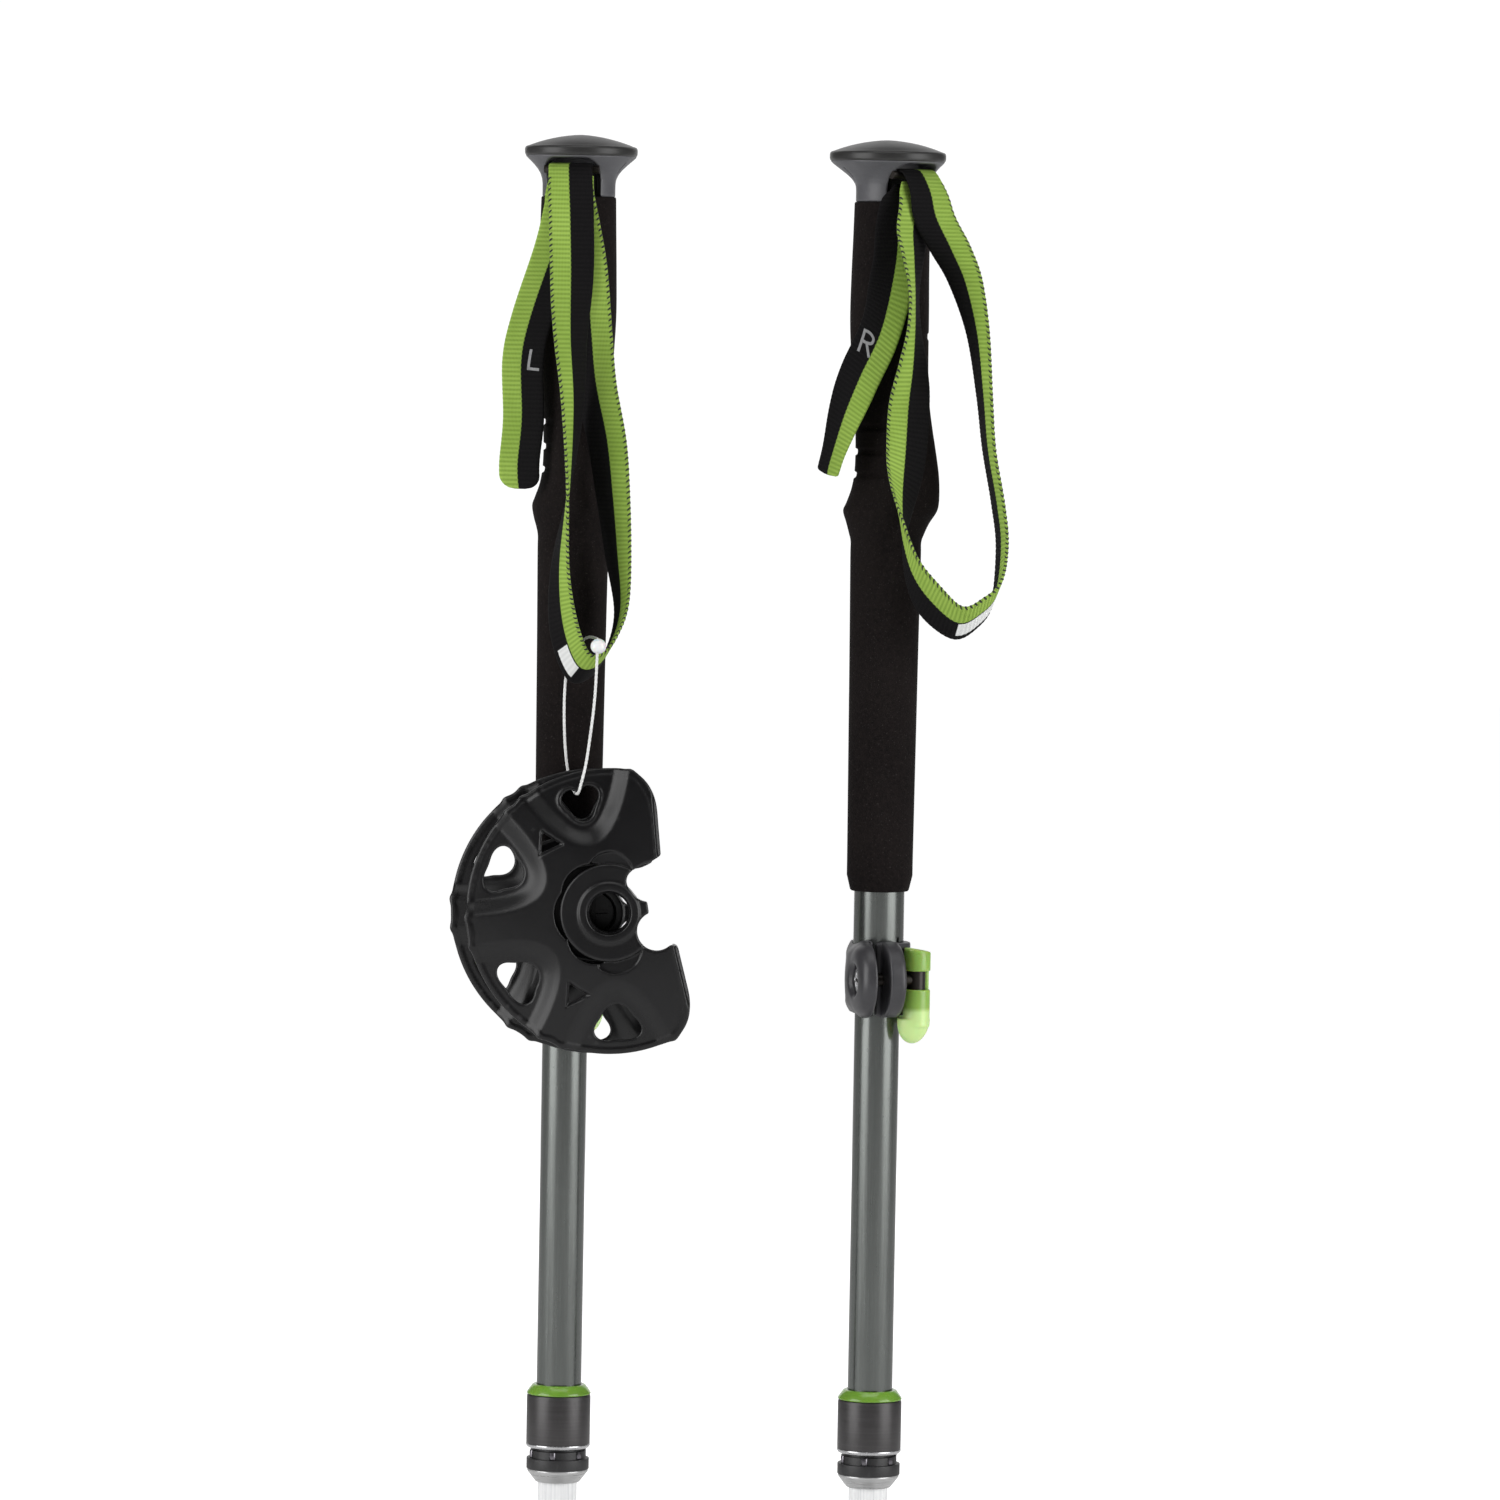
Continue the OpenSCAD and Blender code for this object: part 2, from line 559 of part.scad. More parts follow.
// Snow baskets, in their own frame: the mouth faces +X and the front faces +Z
function arc_slot(r0, r1, a0, a1) = concat(
  [for (k = [0:8]) r1 * [cos(a0 + (a1 - a0) * k / 8), sin(a0 + (a1 - a0) * k / 8)]],
  [for (k = [8:-1:0]) r0 * [cos(a0 + (a1 - a0) * k / 8), sin(a0 + (a1 - a0) * k / 8)]]);
function three_sided(r) = [for (a = [0:15:345]) r * (1 - 0.16 * cos(3 * a)) * [cos(a), sin(a)]];
module snow_outline() {
  offset(r = 8, $fn = 48) offset(delta = -8) difference() {
    circle(r = snow_r, $fn = 96);
    translate([snow_mouth, -80]) square([80, 160]);
  }
}
module snow_basket() {
  rim = 3;
  pockets = [95.5, 150, 208.5, 265];
  top = snow_depth - 1.4;
  color([0.15, 0.15, 0.15]) difference() {
    union() {
      intersection() {
        rotate_extrude() polygon([[8, top - 2.4], [17, top - 2.4], [snow_r + 2, 2.8], [snow_r + 2, 5.2],
          [36, 8.6], [17, top], [8, top]]);
        linear_extrude(height = snow_depth) snow_outline();
      }
      difference() {
        translate([0, 0, 0.9]) linear_extrude(height = 5) snow_outline();
        translate([0, 0, -1]) linear_extrude(height = 8) scale((snow_r - rim) / snow_r) snow_outline();
      }
      tube(11, 8, 0, snow_depth);
    }
    translate([0, 0, -1]) cylinder(r = thread_r, h = snow_depth + 2);
    translate([15.4, 8.65, -1]) cylinder(r = 6.9, h = snow_depth + 2);
    translate([16.6, -9, -1]) cylinder(r = 7.3, h = snow_depth + 2);
    translate([14.4, -7, -1]) cube([20, 14, snow_depth + 2]);
    for (a = pockets) {
      rotate([0, 0, a]) translate([40, 0, -1]) linear_extrude(height = snow_depth + 2)
        polygon(three_sided(6));
      rotate([0, 0, a]) translate([0, 0, -1]) linear_extrude(height = snow_depth + 2)
        polygon(arc_slot(17.8, 20.4, -18, 18));
    }
    for (g = [[119.4, 32.3], [241.8, 31]]) rotate([0, 0, g[0]]) translate([g[1], 0, -1])
      linear_extrude(height = snow_depth + 2) rotate([0, 0, 168 - g[0]]) polygon(three_sided(3));
  }
}
module hang_basket(x, back, z, turn) {
  translate([x, back, z]) rotate([90, 0, 0]) rotate([0, 0, turn]) children();
}
module snow_basket_front() hang_basket(15.7, -27.5, 345.6, snow_turn) snow_basket();
module snow_basket_rear() hang_basket(10, -13.5, 344.6, rear_turn) snow_basket();
module basket_plug() hang_basket(10, -13.5, 344.6, rear_turn) color([0.1, 0.1, 0.1]) difference() {
  disc(thread_r - 0.05, 0, 7);
  for (a = [0, 90]) rotate([0, 0, a]) translate([-5, -0.8, 5.5]) cube([10, 1.6, 3]);
}
module tag_loop() color("white") swept(curve(TAG, 5), tag_r, 8);
module tag_bead() color("white") translate([10.3, -34.3, 439.5]) difference() {
  sphere(r = bead_r);
  rotate([90, 0, 0]) cylinder(r = bead_bore, h = 4 * bead_r, center = true, $fn = 32);
}

for (side = [left, right]) on_pole(side) {
  pole = str(SIDES[side], "_");
  grip_head(side);
  top_cover(side);
  strap_wedge(side);
  strap_pin(side);
  foam_grip(side);
  upper_shaft(side);
  clamp_body(side);
  clamp_screw(side);
  clamp_barrel(side);
  clamp_washer(side);
  clamp_lever(side);
  mid_shaft();
  mid_bush();
  lock_housing();
  collar_ring();
  release_collar();
  collar_spring();
  lock_balls();
  nose_ring();
  lower_shaft();
  lower_bush();
  flex_tip();
  carbide_tip();
  trekking_basket();
  strap(side);
  strap_tail(side);
}
on_pole(left) {
  snow_basket_front();
  snow_basket_rear();
  basket_plug();
  tag_loop();
  tag_bead();
}
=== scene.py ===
import json
import math

import bmesh
import bpy
import numpy as np
from mathutils import Matrix, Vector


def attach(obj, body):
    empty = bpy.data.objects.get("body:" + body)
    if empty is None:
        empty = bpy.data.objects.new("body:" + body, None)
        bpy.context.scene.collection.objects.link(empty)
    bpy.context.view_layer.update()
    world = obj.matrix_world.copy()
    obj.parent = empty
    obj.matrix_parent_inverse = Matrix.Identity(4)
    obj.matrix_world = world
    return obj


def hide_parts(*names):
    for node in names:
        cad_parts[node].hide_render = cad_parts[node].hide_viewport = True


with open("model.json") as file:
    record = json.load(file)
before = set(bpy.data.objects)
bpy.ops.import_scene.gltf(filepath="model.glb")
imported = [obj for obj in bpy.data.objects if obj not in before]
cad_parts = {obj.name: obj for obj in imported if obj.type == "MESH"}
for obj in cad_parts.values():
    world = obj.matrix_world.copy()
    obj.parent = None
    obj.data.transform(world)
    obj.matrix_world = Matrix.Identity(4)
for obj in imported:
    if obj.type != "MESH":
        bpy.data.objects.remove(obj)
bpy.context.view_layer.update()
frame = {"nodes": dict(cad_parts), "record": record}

scene = bpy.context.scene
nodes = frame["nodes"]
bodies = frame["record"]["behaviour"]["bodies"]
GAP, PALM = 111.5, 551.0  # millimetres: from pole to pole, and from tip to the frame's origin
SIDES = ("left", "right")
# degrees that each pole's pieces are turned about its axis, left then right
HEAD_TURN = (-12.0, 40.0)
GRIP_TURN = (0.0, 60.0)
CLAMP_TURN = (104.0, 14.0)
# the clamp's screw line in its own frame, and where the lever turns on it
SCREW_Y, SCREW_Z = -12.0, 321.5
BARREL_X = 11.3


def body_of(node):
    return next(b for b, members in bodies.items() if node in members)


def turned_by(x, y, degrees):
    c, s = math.cos(math.radians(degrees)), math.sin(math.radians(degrees))
    return x * c - y * s, x * s + y * c


def polar(r, degrees):
    return r * math.cos(math.radians(degrees)), r * math.sin(math.radians(degrees))


def put(side, p, turn=0.0):
    """Millimetres above one pole's tip, turned about its axis, as metres in the row frame."""
    p = np.asarray(p, float)
    x, y = turned_by(p[..., 0], p[..., 1], turn)
    return np.stack([x + GAP * side, y, p[..., 2] - PALM], -1) / 1000


# ---------------------------------------------------------------- camera
def aim(cam, at, distance, pitch, roll):
    p, r = math.radians(pitch), math.radians(roll)
    back = Vector((0, -math.cos(p), math.sin(p)))
    right, up = Vector((1, 0, 0)), back.cross(Vector((1, 0, 0)))
    x = right * math.cos(r) + up * math.sin(r)
    y = up * math.cos(r) - right * math.sin(r)
    m = Matrix((x, y, back)).transposed().to_4x4()
    m.translation = Vector(at) + back * distance
    cam.matrix_world = m


lens = bpy.data.cameras.new("camera")
lens.lens = 197.0
lens.sensor_width = 36.0
lens.clip_end = 60.0
camera = bpy.data.objects.new("camera", lens)
scene.collection.objects.link(camera)
aim(camera, (0.0644, 0.0, -0.1490), 2.93, 3.1, 1.03)
scene.camera = camera


# ---------------------------------------------------------------- meshes
def mesh(name, verts, faces, look, node, also=()):
    """A smooth piece on its node's body. With also=None it is an extra that replaces no node."""
    me = bpy.data.meshes.new(name)
    me.from_pydata(np.asarray(verts, float).tolist(), [], [list(f) for f in faces])
    me.validate()
    me.polygons.foreach_set("use_smooth", [True] * len(me.polygons))
    me.materials.append(look)
    o = bpy.data.objects.new(name, me)
    scene.collection.objects.link(o)
    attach(o, body_of(node))
    if also is not None:
        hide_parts(node, *also)
    return o


def sharp(o, angle):
    """Keeps creases above this angle and smooths the rest."""
    me = o.data
    me.polygons.foreach_set("use_smooth", [True] * len(me.polygons))
    me.set_sharp_from_angle(angle=math.radians(angle))
    return o


def grid_faces(rows, cols, wrap=True, base=0):
    out = []
    for i in range(rows - 1):
        for j in range(cols if wrap else cols - 1):
            k = (j + 1) % cols
            out.append((base + i * cols + j, base + i * cols + k,
                        base + (i + 1) * cols + k, base + (i + 1) * cols + j))
    return out


def lathe(profile, n=96, round_off=0.0):
    """A closed ring from (radius, height) points that run anticlockwise, with its corners eased."""
    p = [np.array(q, float) for q in profile]
    if round_off:
        eased = []
        for i, q in enumerate(p):
            a, b = p[i - 1] - q, p[(i + 1) % len(p)] - q
            la, lb = np.linalg.norm(a), np.linalg.norm(b)
            bend = math.acos(max(-1, min(1, a @ b / (la * lb))))
            if q[0] < 1e-6 or bend > math.radians(150):
                eased.append(q)
                continue
            r = min(round_off, la * 0.4, lb * 0.4)
            s, e = q + a / la * r, q + b / lb * r
            eased += [(1 - t) ** 2 * s + 2 * t * (1 - t) * q + t * t * e for t in (0, 0.33, 0.67, 1)]
        p = eased
    a = np.arange(n) * 2 * math.pi / n
    v = np.array([[r * np.cos(a), r * np.sin(a), np.full(n, z)] for r, z in p])
    v = v.transpose(0, 2, 1).reshape(-1, 3)
    rows = len(p)
    faces = []
    for i in range(rows):
        k = (i + 1) % rows
        if p[i][0] < 1e-6 and p[k][0] < 1e-6:
            continue
        for j in range(n):
            m = (j + 1) % n
            faces.append((i * n + j, i * n + m, k * n + m, k * n + j))
    return v, faces


def weld(o, gap=1e-7):
    """Joins points that fall together and turns every face outwards."""
    bm = bmesh.new()
    bm.from_mesh(o.data)
    bmesh.ops.remove_doubles(bm, verts=bm.verts, dist=gap)
    bmesh.ops.recalc_face_normals(bm, faces=bm.faces)
    bm.to_mesh(o.data)
    bm.free()
    return o


def ease(a, b, c, d, t):
    return 0.5 * (2 * b + (c - a) * t + (2 * a - 5 * b + 4 * c - d) * t * t
                  + (3 * b - a - 3 * c + d) * t ** 3)


def curve(points, n):
    """A smooth line through the points, with n steps between each two."""
    p = np.array(points, float)
    last = len(p) - 1
    out = [ease(p[max(i - 1, 0)], p[i], p[i + 1], p[min(i + 2, last)], j / n)
           for i in range(last) for j in range(n)]
    return np.array(out + [p[last]])


def unit(v):
    return v / np.maximum(np.linalg.norm(v, axis=-1, keepdims=True), 1e-12)


# ---------------------------------------------------------------- solids from distances
def smin(a, b, k):
    """The union of two distance fields, blended over k."""
    h = np.clip(0.5 + 0.5 * (b - a) / k, 0, 1)
    return b + (a - b) * h - k * h * (1 - h)


def smax(a, b, k):
    return -smin(-a, -b, k)


def step(lo, hi, x):
    t = np.clip((x - lo) / (hi - lo), 0, 1)
    return t * t * (3 - 2 * t)


def rod(p, axis, r, centre, lo, hi, e):
    """A round bar along one axis with eased edges."""
    u, v = [i for i in range(3) if i != axis]
    q = np.hypot(p[..., u] - centre[0], p[..., v] - centre[1]) - r + e
    w = np.abs(p[..., axis] - (lo + hi) / 2) - (hi - lo) / 2 + e
    return np.hypot(np.maximum(q, 0), np.maximum(w, 0)) + np.minimum(np.maximum(q, w), 0) - e


def nets(f, lo, hi, size):
    """The surface where f is nought, as quads, moved onto f itself."""
    lo, hi = np.array(lo, float), np.array(hi, float)
    n = np.ceil((hi - lo) / size).astype(int) + 1
    axes = [lo[i] + size * np.arange(n[i]) for i in range(3)]
    p = np.stack(np.meshgrid(*axes, indexing="ij"), -1)
    d = f(p)
    inside = d < 0
    total = np.zeros(tuple(n - 1) + (3,))
    count = np.zeros(tuple(n - 1))
    for k in range(3):
        u, v = [i for i in range(3) if i != k]
        for a in (0, 1):
            for b in (0, 1):
                s = [None] * 3
                e = [None] * 3
                s[k], e[k] = slice(0, n[k] - 1), slice(1, n[k])
                s[u] = e[u] = slice(a, a + n[u] - 1)
                s[v] = e[v] = slice(b, b + n[v] - 1)
                s, e = tuple(s), tuple(e)
                hit = inside[s] != inside[e]
                t = d[s] / np.where(hit, d[s] - d[e], 1)
                total[hit] += p[s][hit] * (1 - t[hit])[:, None] + p[e][hit] * t[hit][:, None]
                count += hit
    cell = count > 0
    index = np.full(cell.shape, -1)
    index[cell] = np.arange(cell.sum())
    verts = total[cell] / count[cell][:, None]
    faces = []
    for k in range(3):
        u, v = (k + 1) % 3, (k + 2) % 3
        s = [slice(1, n[i] - 1) for i in range(3)]
        e = list(s)
        s[k], e[k] = slice(0, n[k] - 1), slice(1, n[k])
        a, b = inside[tuple(s)], inside[tuple(e)]
        for way in (True, False):
            at = np.argwhere((a != b) & (a == way))
            if not len(at):
                continue
            at = at + [0 if i == k else 1 for i in range(3)]
            quad = []
            for du, dv in ((0, 0), (1, 0), (1, 1), (0, 1)):
                c = at.copy()
                c[:, u] -= 1 - du
                c[:, v] -= 1 - dv
                quad.append(index[tuple(c.T)])
            quad = np.array(quad).T
            faces.append(quad if way else quad[:, ::-1])
    faces = np.concatenate(faces)
    h = size * 0.1
    for _ in range(4):
        g = np.stack([(f(verts + h * np.eye(3)[i]) - f(verts - h * np.eye(3)[i])) / (2 * h)
                      for i in range(3)], -1)
        move = -f(verts)[:, None] * g / np.maximum((g * g).sum(-1, keepdims=True), 0.05)
        far = np.linalg.norm(move, axis=-1, keepdims=True)
        verts = verts + move * np.minimum(1, 0.35 * size / np.maximum(far, 1e-9))
    return verts, faces


# ---------------------------------------------------------------- materials
class Look:
    """One procedural material, built node by node."""

    def __init__(self, name, rough=0.5, metal=0.0, **fixed):
        self.mat = bpy.data.materials.new(name)
        self.mat.use_nodes = True
        self.tree = self.mat.node_tree
        self.shader = self.tree.nodes["Principled BSDF"]
        self.shader.inputs["Roughness"].default_value = rough
        self.shader.inputs["Metallic"].default_value = metal
        for k, v in fixed.items():
            self.shader.inputs[k.replace("_", " ")].default_value = v
        self.place = self.node("TexCoord", {}, out="Object")

    def node(self, kind, inputs, out=0, **settings):
        n = self.tree.nodes.new("ShaderNode" + kind)
        for k, v in settings.items():
            setattr(n, k, v)
        for k, v in inputs.items():
            if isinstance(v, bpy.types.NodeSocket):
                self.tree.links.new(v, n.inputs[k])
            else:
                n.inputs[k].default_value = v
        return n.outputs[out]

    def scaled(self, x, y, z, vector=None):
        return self.node("Mapping", {"Vector": vector or self.place, "Scale": (x, y, z)})

    def noise(self, scale, detail=2.0, vector=None, rough=0.5):
        return self.node("TexNoise", {"Vector": vector or self.place, "Scale": scale,
                                      "Detail": detail, "Roughness": rough})

    def cells(self, scale, vector=None):
        return self.node("TexVoronoi", {"Vector": vector or self.place, "Scale": scale})

    def span(self, value, a, b, c=0.0, d=1.0):
        return self.node("MapRange", {"Value": value, "From Min": a, "From Max": b,
                                      "To Min": c, "To Max": d})

    def sum(self, a, b, how="ADD"):
        return self.node("Math", {0: a, 1: b}, operation=how)

    def mix(self, f, a, b):
        rgba = [v if isinstance(v, bpy.types.NodeSocket) else (*v[:3], 1.0) for v in (a, b)]
        return self.node("Mix", {0: f, 6: rgba[0], 7: rgba[1]}, out=2, data_type="RGBA")

    def link(self, socket, value):
        self.tree.links.new(value, self.shader.inputs[socket])

    def bump(self, height, strength, distance):
        bumped = self.node("Bump", {"Height": height, "Strength": strength, "Distance": distance})
        self.link("Normal", bumped)


def shade(c, k):
    return tuple(min(1.0, x * k) for x in c)


def moulded(name, colour, rough, grain=0.25, wear=0.35, **fixed):
    """Moulded plastic: fine spark-eroded grain, slight flow marks, edges worn lighter."""
    m = Look(name, rough, **fixed)
    broad = m.noise(45.0, 4.0)
    fine = m.noise(2300.0, 3.0, rough=0.65)
    col = m.mix(m.span(broad, 0.3, 0.7), shade(colour, 0.88), shade(colour, 1.12))
    col = m.mix(m.span(fine, 0.35, 0.75, 0.0, 0.35), col, shade(colour, 1.5))
    edge = m.span(m.node("NewGeometry", {}, out="Pointiness"), 0.515, 0.58)
    edge = m.sum(edge, m.span(m.noise(260.0, 3.0), 0.4, 0.65, 0.15, wear), "MULTIPLY")
    col = m.mix(edge, col, shade(tuple(x + 0.02 for x in colour), 2.0))
    m.link("Base Color", col)
    m.link("Roughness", m.span(m.sum(m.sum(broad, 0.6, "MULTIPLY"), m.sum(fine, 0.4, "MULTIPLY")),
                               0.3, 0.7, rough - 0.06, rough + 0.09))
    m.bump(fine, grain, 0.00008)
    return m.mat


def metal(name, colour, rough, streak, depth, metallic=1.0):
    """Drawn or turned metal: fine lines one way, faint clouding, small scratches."""
    m = Look(name, rough, metallic)
    lines = m.noise(1500.0, 3.0, m.scaled(*streak), 0.7)
    cloud = m.noise(30.0, 3.0)
    col = m.mix(m.span(lines, 0.3, 0.7), shade(colour, 0.86), shade(colour, 1.12))
    col = m.mix(m.span(cloud, 0.35, 0.7, 0.0, 0.3), col, shade(colour, 0.8))
    m.link("Base Color", col)
    scratch = m.noise(420.0, 5.0, m.scaled(1.0, 1.0, 0.25), 0.8)
    m.link("Roughness", m.span(m.sum(lines, m.span(scratch, 0.55, 0.75, 0.0, 0.5)), 0.3, 1.1,
                               rough - 0.05, rough + 0.12))
    m.bump(lines, depth, 0.00004)
    return m.mat


def foam():
    """Closed-cell foam: near black, matt, pitted, with pale specks."""
    m = Look("foam", 0.92, Sheen_Weight=0.02, Sheen_Roughness=0.4, Specular_IOR_Level=0.08)
    pits = m.cells(1500.0)
    soft = m.noise(700.0, 5.0, rough=0.7)
    col = m.mix(m.span(soft, 0.3, 0.72), (0.0042, 0.0034, 0.0034), (0.014, 0.0108, 0.0105))
    col = m.mix(m.span(m.noise(35.0, 3.0), 0.35, 0.7, 0.0, 0.35), col, (0.017, 0.0135, 0.0125))
    speck = m.span(m.noise(1900.0, 1.0), 0.68, 0.74, 0.0, 0.5)
    col = m.mix(speck, col, (0.055, 0.050, 0.048))
    m.link("Base Color", col)
    m.link("Roughness", m.span(soft, 0.3, 0.7, 0.82, 0.98))
    m.bump(m.sum(soft, m.span(pits, 0.0, 0.6, 0.0, 0.6)), 0.55, 0.00022)
    return m.mat


WEB_GREEN, WEB_BLACK = 0.47, (0.0035, 0.0033, 0.0036)  # the green's share of the width; black yarn
RIB = 1.6  # millimetres from one cross rib of the webbing to the next


def webbing(name, patch_half):
    """Ribbed two-colour webbing, with painted shade in the valleys between the ribs. The map's u runs
    across it and v is millimetres from the patch.
    """
    m = Look(name, 0.78, Sheen_Weight=0.02, Sheen_Roughness=0.4, Specular_IOR_Level=0.1)
    uv = m.node("UVMap", {}, uv_map="web")
    u = m.node("SeparateXYZ", {0: uv}, out=0)
    v = m.node("SeparateXYZ", {0: uv}, out=1)
    rib = m.node("Math", {0: m.sum(v, 2 * math.pi / RIB, "MULTIPLY")}, operation="COSINE")
    yarn = m.node("Math", {0: m.sum(u, 2 * math.pi * 30, "MULTIPLY")}, operation="COSINE")
    fuzz = m.noise(2600.0, 3.0, rough=0.7)
    wide = m.noise(55.0, 3.0)
    green = m.mix(m.span(wide, 0.3, 0.7), (0.27, 0.42, 0.065), (0.35, 0.52, 0.095))
    # painted shade: the green is darker in the valleys between the ribs
    green = m.mix(m.span(rib, 0.9, -0.9, 0.0, 0.62), green, (0.13, 0.225, 0.026))
    green = m.mix(m.span(m.sum(yarn, fuzz), 0.2, 1.5, 0.0, 0.28), green, (0.43, 0.62, 0.16))
    black = m.mix(m.span(fuzz, 0.3, 0.75), WEB_BLACK, (0.011, 0.010, 0.0108))
    # painted shade: the black is darker in the valleys between the ribs
    black = m.mix(m.span(rib, 0.9, -0.9, 0.0, 0.5), black, (0.002, 0.002, 0.0025))
    edge = m.sum(u, m.sum(m.sum(rib, 0.006, "MULTIPLY"), m.sum(fuzz, 0.01, "MULTIPLY")))
    col = m.mix(m.span(edge, WEB_GREEN - 0.004, WEB_GREEN + 0.012), green, black)
    off = m.node("Math", {0: v}, operation="ABSOLUTE")
    along = m.span(off, patch_half - 0.1, patch_half + 0.1, 1.0, 0.0)
    across = m.sum(m.span(u, 0.50, 0.51), m.span(u, 0.85, 0.86, 1.0, 0.0), "MULTIPLY")
    patch = m.sum(along, across, "MULTIPLY")
    # painted shade: the white patch is darker in the valleys between the ribs
    white = m.mix(m.span(rib, 0.9, -0.9, 0.0, 0.3), (0.80, 0.81, 0.80), (0.52, 0.53, 0.53))
    col = m.mix(patch, col, white)
    m.link("Base Color", col)
    m.link("Roughness", m.span(fuzz, 0.3, 0.7, 0.68, 0.9))
    height = m.sum(m.sum(yarn, 0.35, "MULTIPLY"), m.sum(fuzz, 0.9, "MULTIPLY"))
    height = m.sum(height, m.sum(rib, 0.35, "MULTIPLY"))
    m.bump(height, 0.5, 0.00012)
    return m.mat


def thread(name, colour, rough=0.7):
    """Spun thread or print on yarn: fine fibres along it."""
    m = Look(name, rough, Sheen_Weight=0.2)
    fibre = m.noise(3500.0, 3.0, m.scaled(1.0, 1.0, 0.4), 0.7)
    m.link("Base Color", m.mix(m.span(fibre, 0.3, 0.7), shade(colour, 0.7), shade(colour, 1.15)))
    m.bump(fibre, 0.4, 0.00006)
    return m.mat


def translucent(name, colour, rough, scatter=0.25, painted_light_below=None, **fixed):
    """Glassy nylon that lets a little light in, painted paler below a given height as painted light, with a
    painted highlight on its edges.
    """
    m = Look(name, rough, Subsurface_Weight=scatter, Subsurface_Scale=0.003, **fixed)
    broad, fine = m.noise(90.0, 4.0), m.noise(2000.0, 3.0)
    col = m.mix(m.span(broad, 0.3, 0.7), shade(colour, 0.88), shade(colour, 1.1))
    # painted light: the part below this height is painted paler
    if painted_light_below:
        high = m.node("SeparateXYZ", {0: m.place}, out=2)
        col = m.mix(m.span(high, painted_light_below, painted_light_below + 0.0016, 0.9, 0.0), col, (0.66, 0.90, 0.36))
    # painted highlight: convex edges are painted lighter
    edge = m.span(m.node("NewGeometry", {}, out="Pointiness"), 0.515, 0.6, 0.0, 0.45)
    m.link("Base Color", m.mix(edge, col, shade(colour, 1.45)))
    m.link("Roughness", m.span(m.sum(broad, fine), 0.7, 1.3, rough - 0.05, rough + 0.08))
    m.bump(fine, 0.12, 0.00006)
    return m.mat


M = {
    "grip_plastic": moulded("grip_plastic", (0.080, 0.080, 0.087), 0.42, grain=0.2),
    # painted shade: the cap is the head's plastic painted darker
    "cap_plastic": moulded("cap_plastic", (0.024, 0.0235, 0.023), 0.36, grain=0.2,
                           Specular_IOR_Level=0.4),
    "black_plastic": moulded("black_plastic", (0.015, 0.0145, 0.0155), 0.42),
    "clamp_plastic": moulded("clamp_plastic", (0.040, 0.039, 0.043), 0.36, grain=0.18),
    "basket_plastic": moulded("basket_plastic", (0.0040, 0.0038, 0.0043), 0.31, grain=0.12, wear=0.4,
                              Specular_IOR_Level=0.42),
    "steel": metal("steel", (0.62, 0.62, 0.63), 0.26, (1, 1, 1), 0.1),
    "dark_steel": metal("dark_steel", (0.035, 0.030, 0.026), 0.35, (1, 1, 1), 0.1, 0.6),
    "spring_steel": metal("spring_steel", (0.5, 0.5, 0.52), 0.3, (1, 1, 1), 0.1),
    "anodised_tube": metal("anodised_tube", (0.155, 0.164, 0.157), 0.24, (1, 1, 0.02), 0.1, 0.85),
    # painted light: the lever is painted paler below 310.2 mm
    "green_lever": translucent("green_lever", (0.30, 0.52, 0.09), 0.3, 0.3, (310.2 - PALM) / 1000,
                               Coat_Weight=0.15),
    "collar_metal": metal("collar_metal", (0.056, 0.053, 0.054), 0.36, (0.03, 0.03, 1), 0.1, 0.35),
    "groove_metal": metal("groove_metal", (0.20, 0.19, 0.21), 0.3, (0.03, 0.03, 1), 0.12),
    "green_ring": translucent("green_ring", (0.165, 0.34, 0.035), 0.22, 0.1, Coat_Weight=0.4),
    "light_ring": metal("light_ring", (0.52, 0.52, 0.52), 0.3, (0.03, 0.03, 1), 0.1, 0.6),
    "white_tube": metal("white_tube", (0.90, 0.91, 0.92), 0.3, (1, 1, 0.02), 0.05, 0.0),
    "left_webbing": webbing("left_webbing", 4.6),
    "right_webbing": webbing("right_webbing", 8.6),
    "foam": foam(),
    "string": thread("string", (0.85, 0.85, 0.84), 0.55),
    "stitch": thread("stitch", (0.006, 0.008, 0.004)),
    "mark": thread("mark", (0.30, 0.30, 0.31)),
    "bead": translucent("bead", (0.82, 0.84, 0.85), 0.12, 0.3, Coat_Weight=0.6),
}

# ---------------------------------------------------------------- the baskets' string
TAG = [
    [10, -35, 438], [9.3, -38, 420], [7, -40, 400], [5.2, -41, 391.5], [4.2, -38, 388],
    [3.2, -28, 387], [2.2, -16, 387], [0.5, -12.9, 390.5], [-1.2, -14.5, 402], [-1.8, -17, 418],
    [-1, -19, 430], [1.5, -20, 438], [6, -23, 442], [9.5, -29, 442], [10.3, -33, 441]]


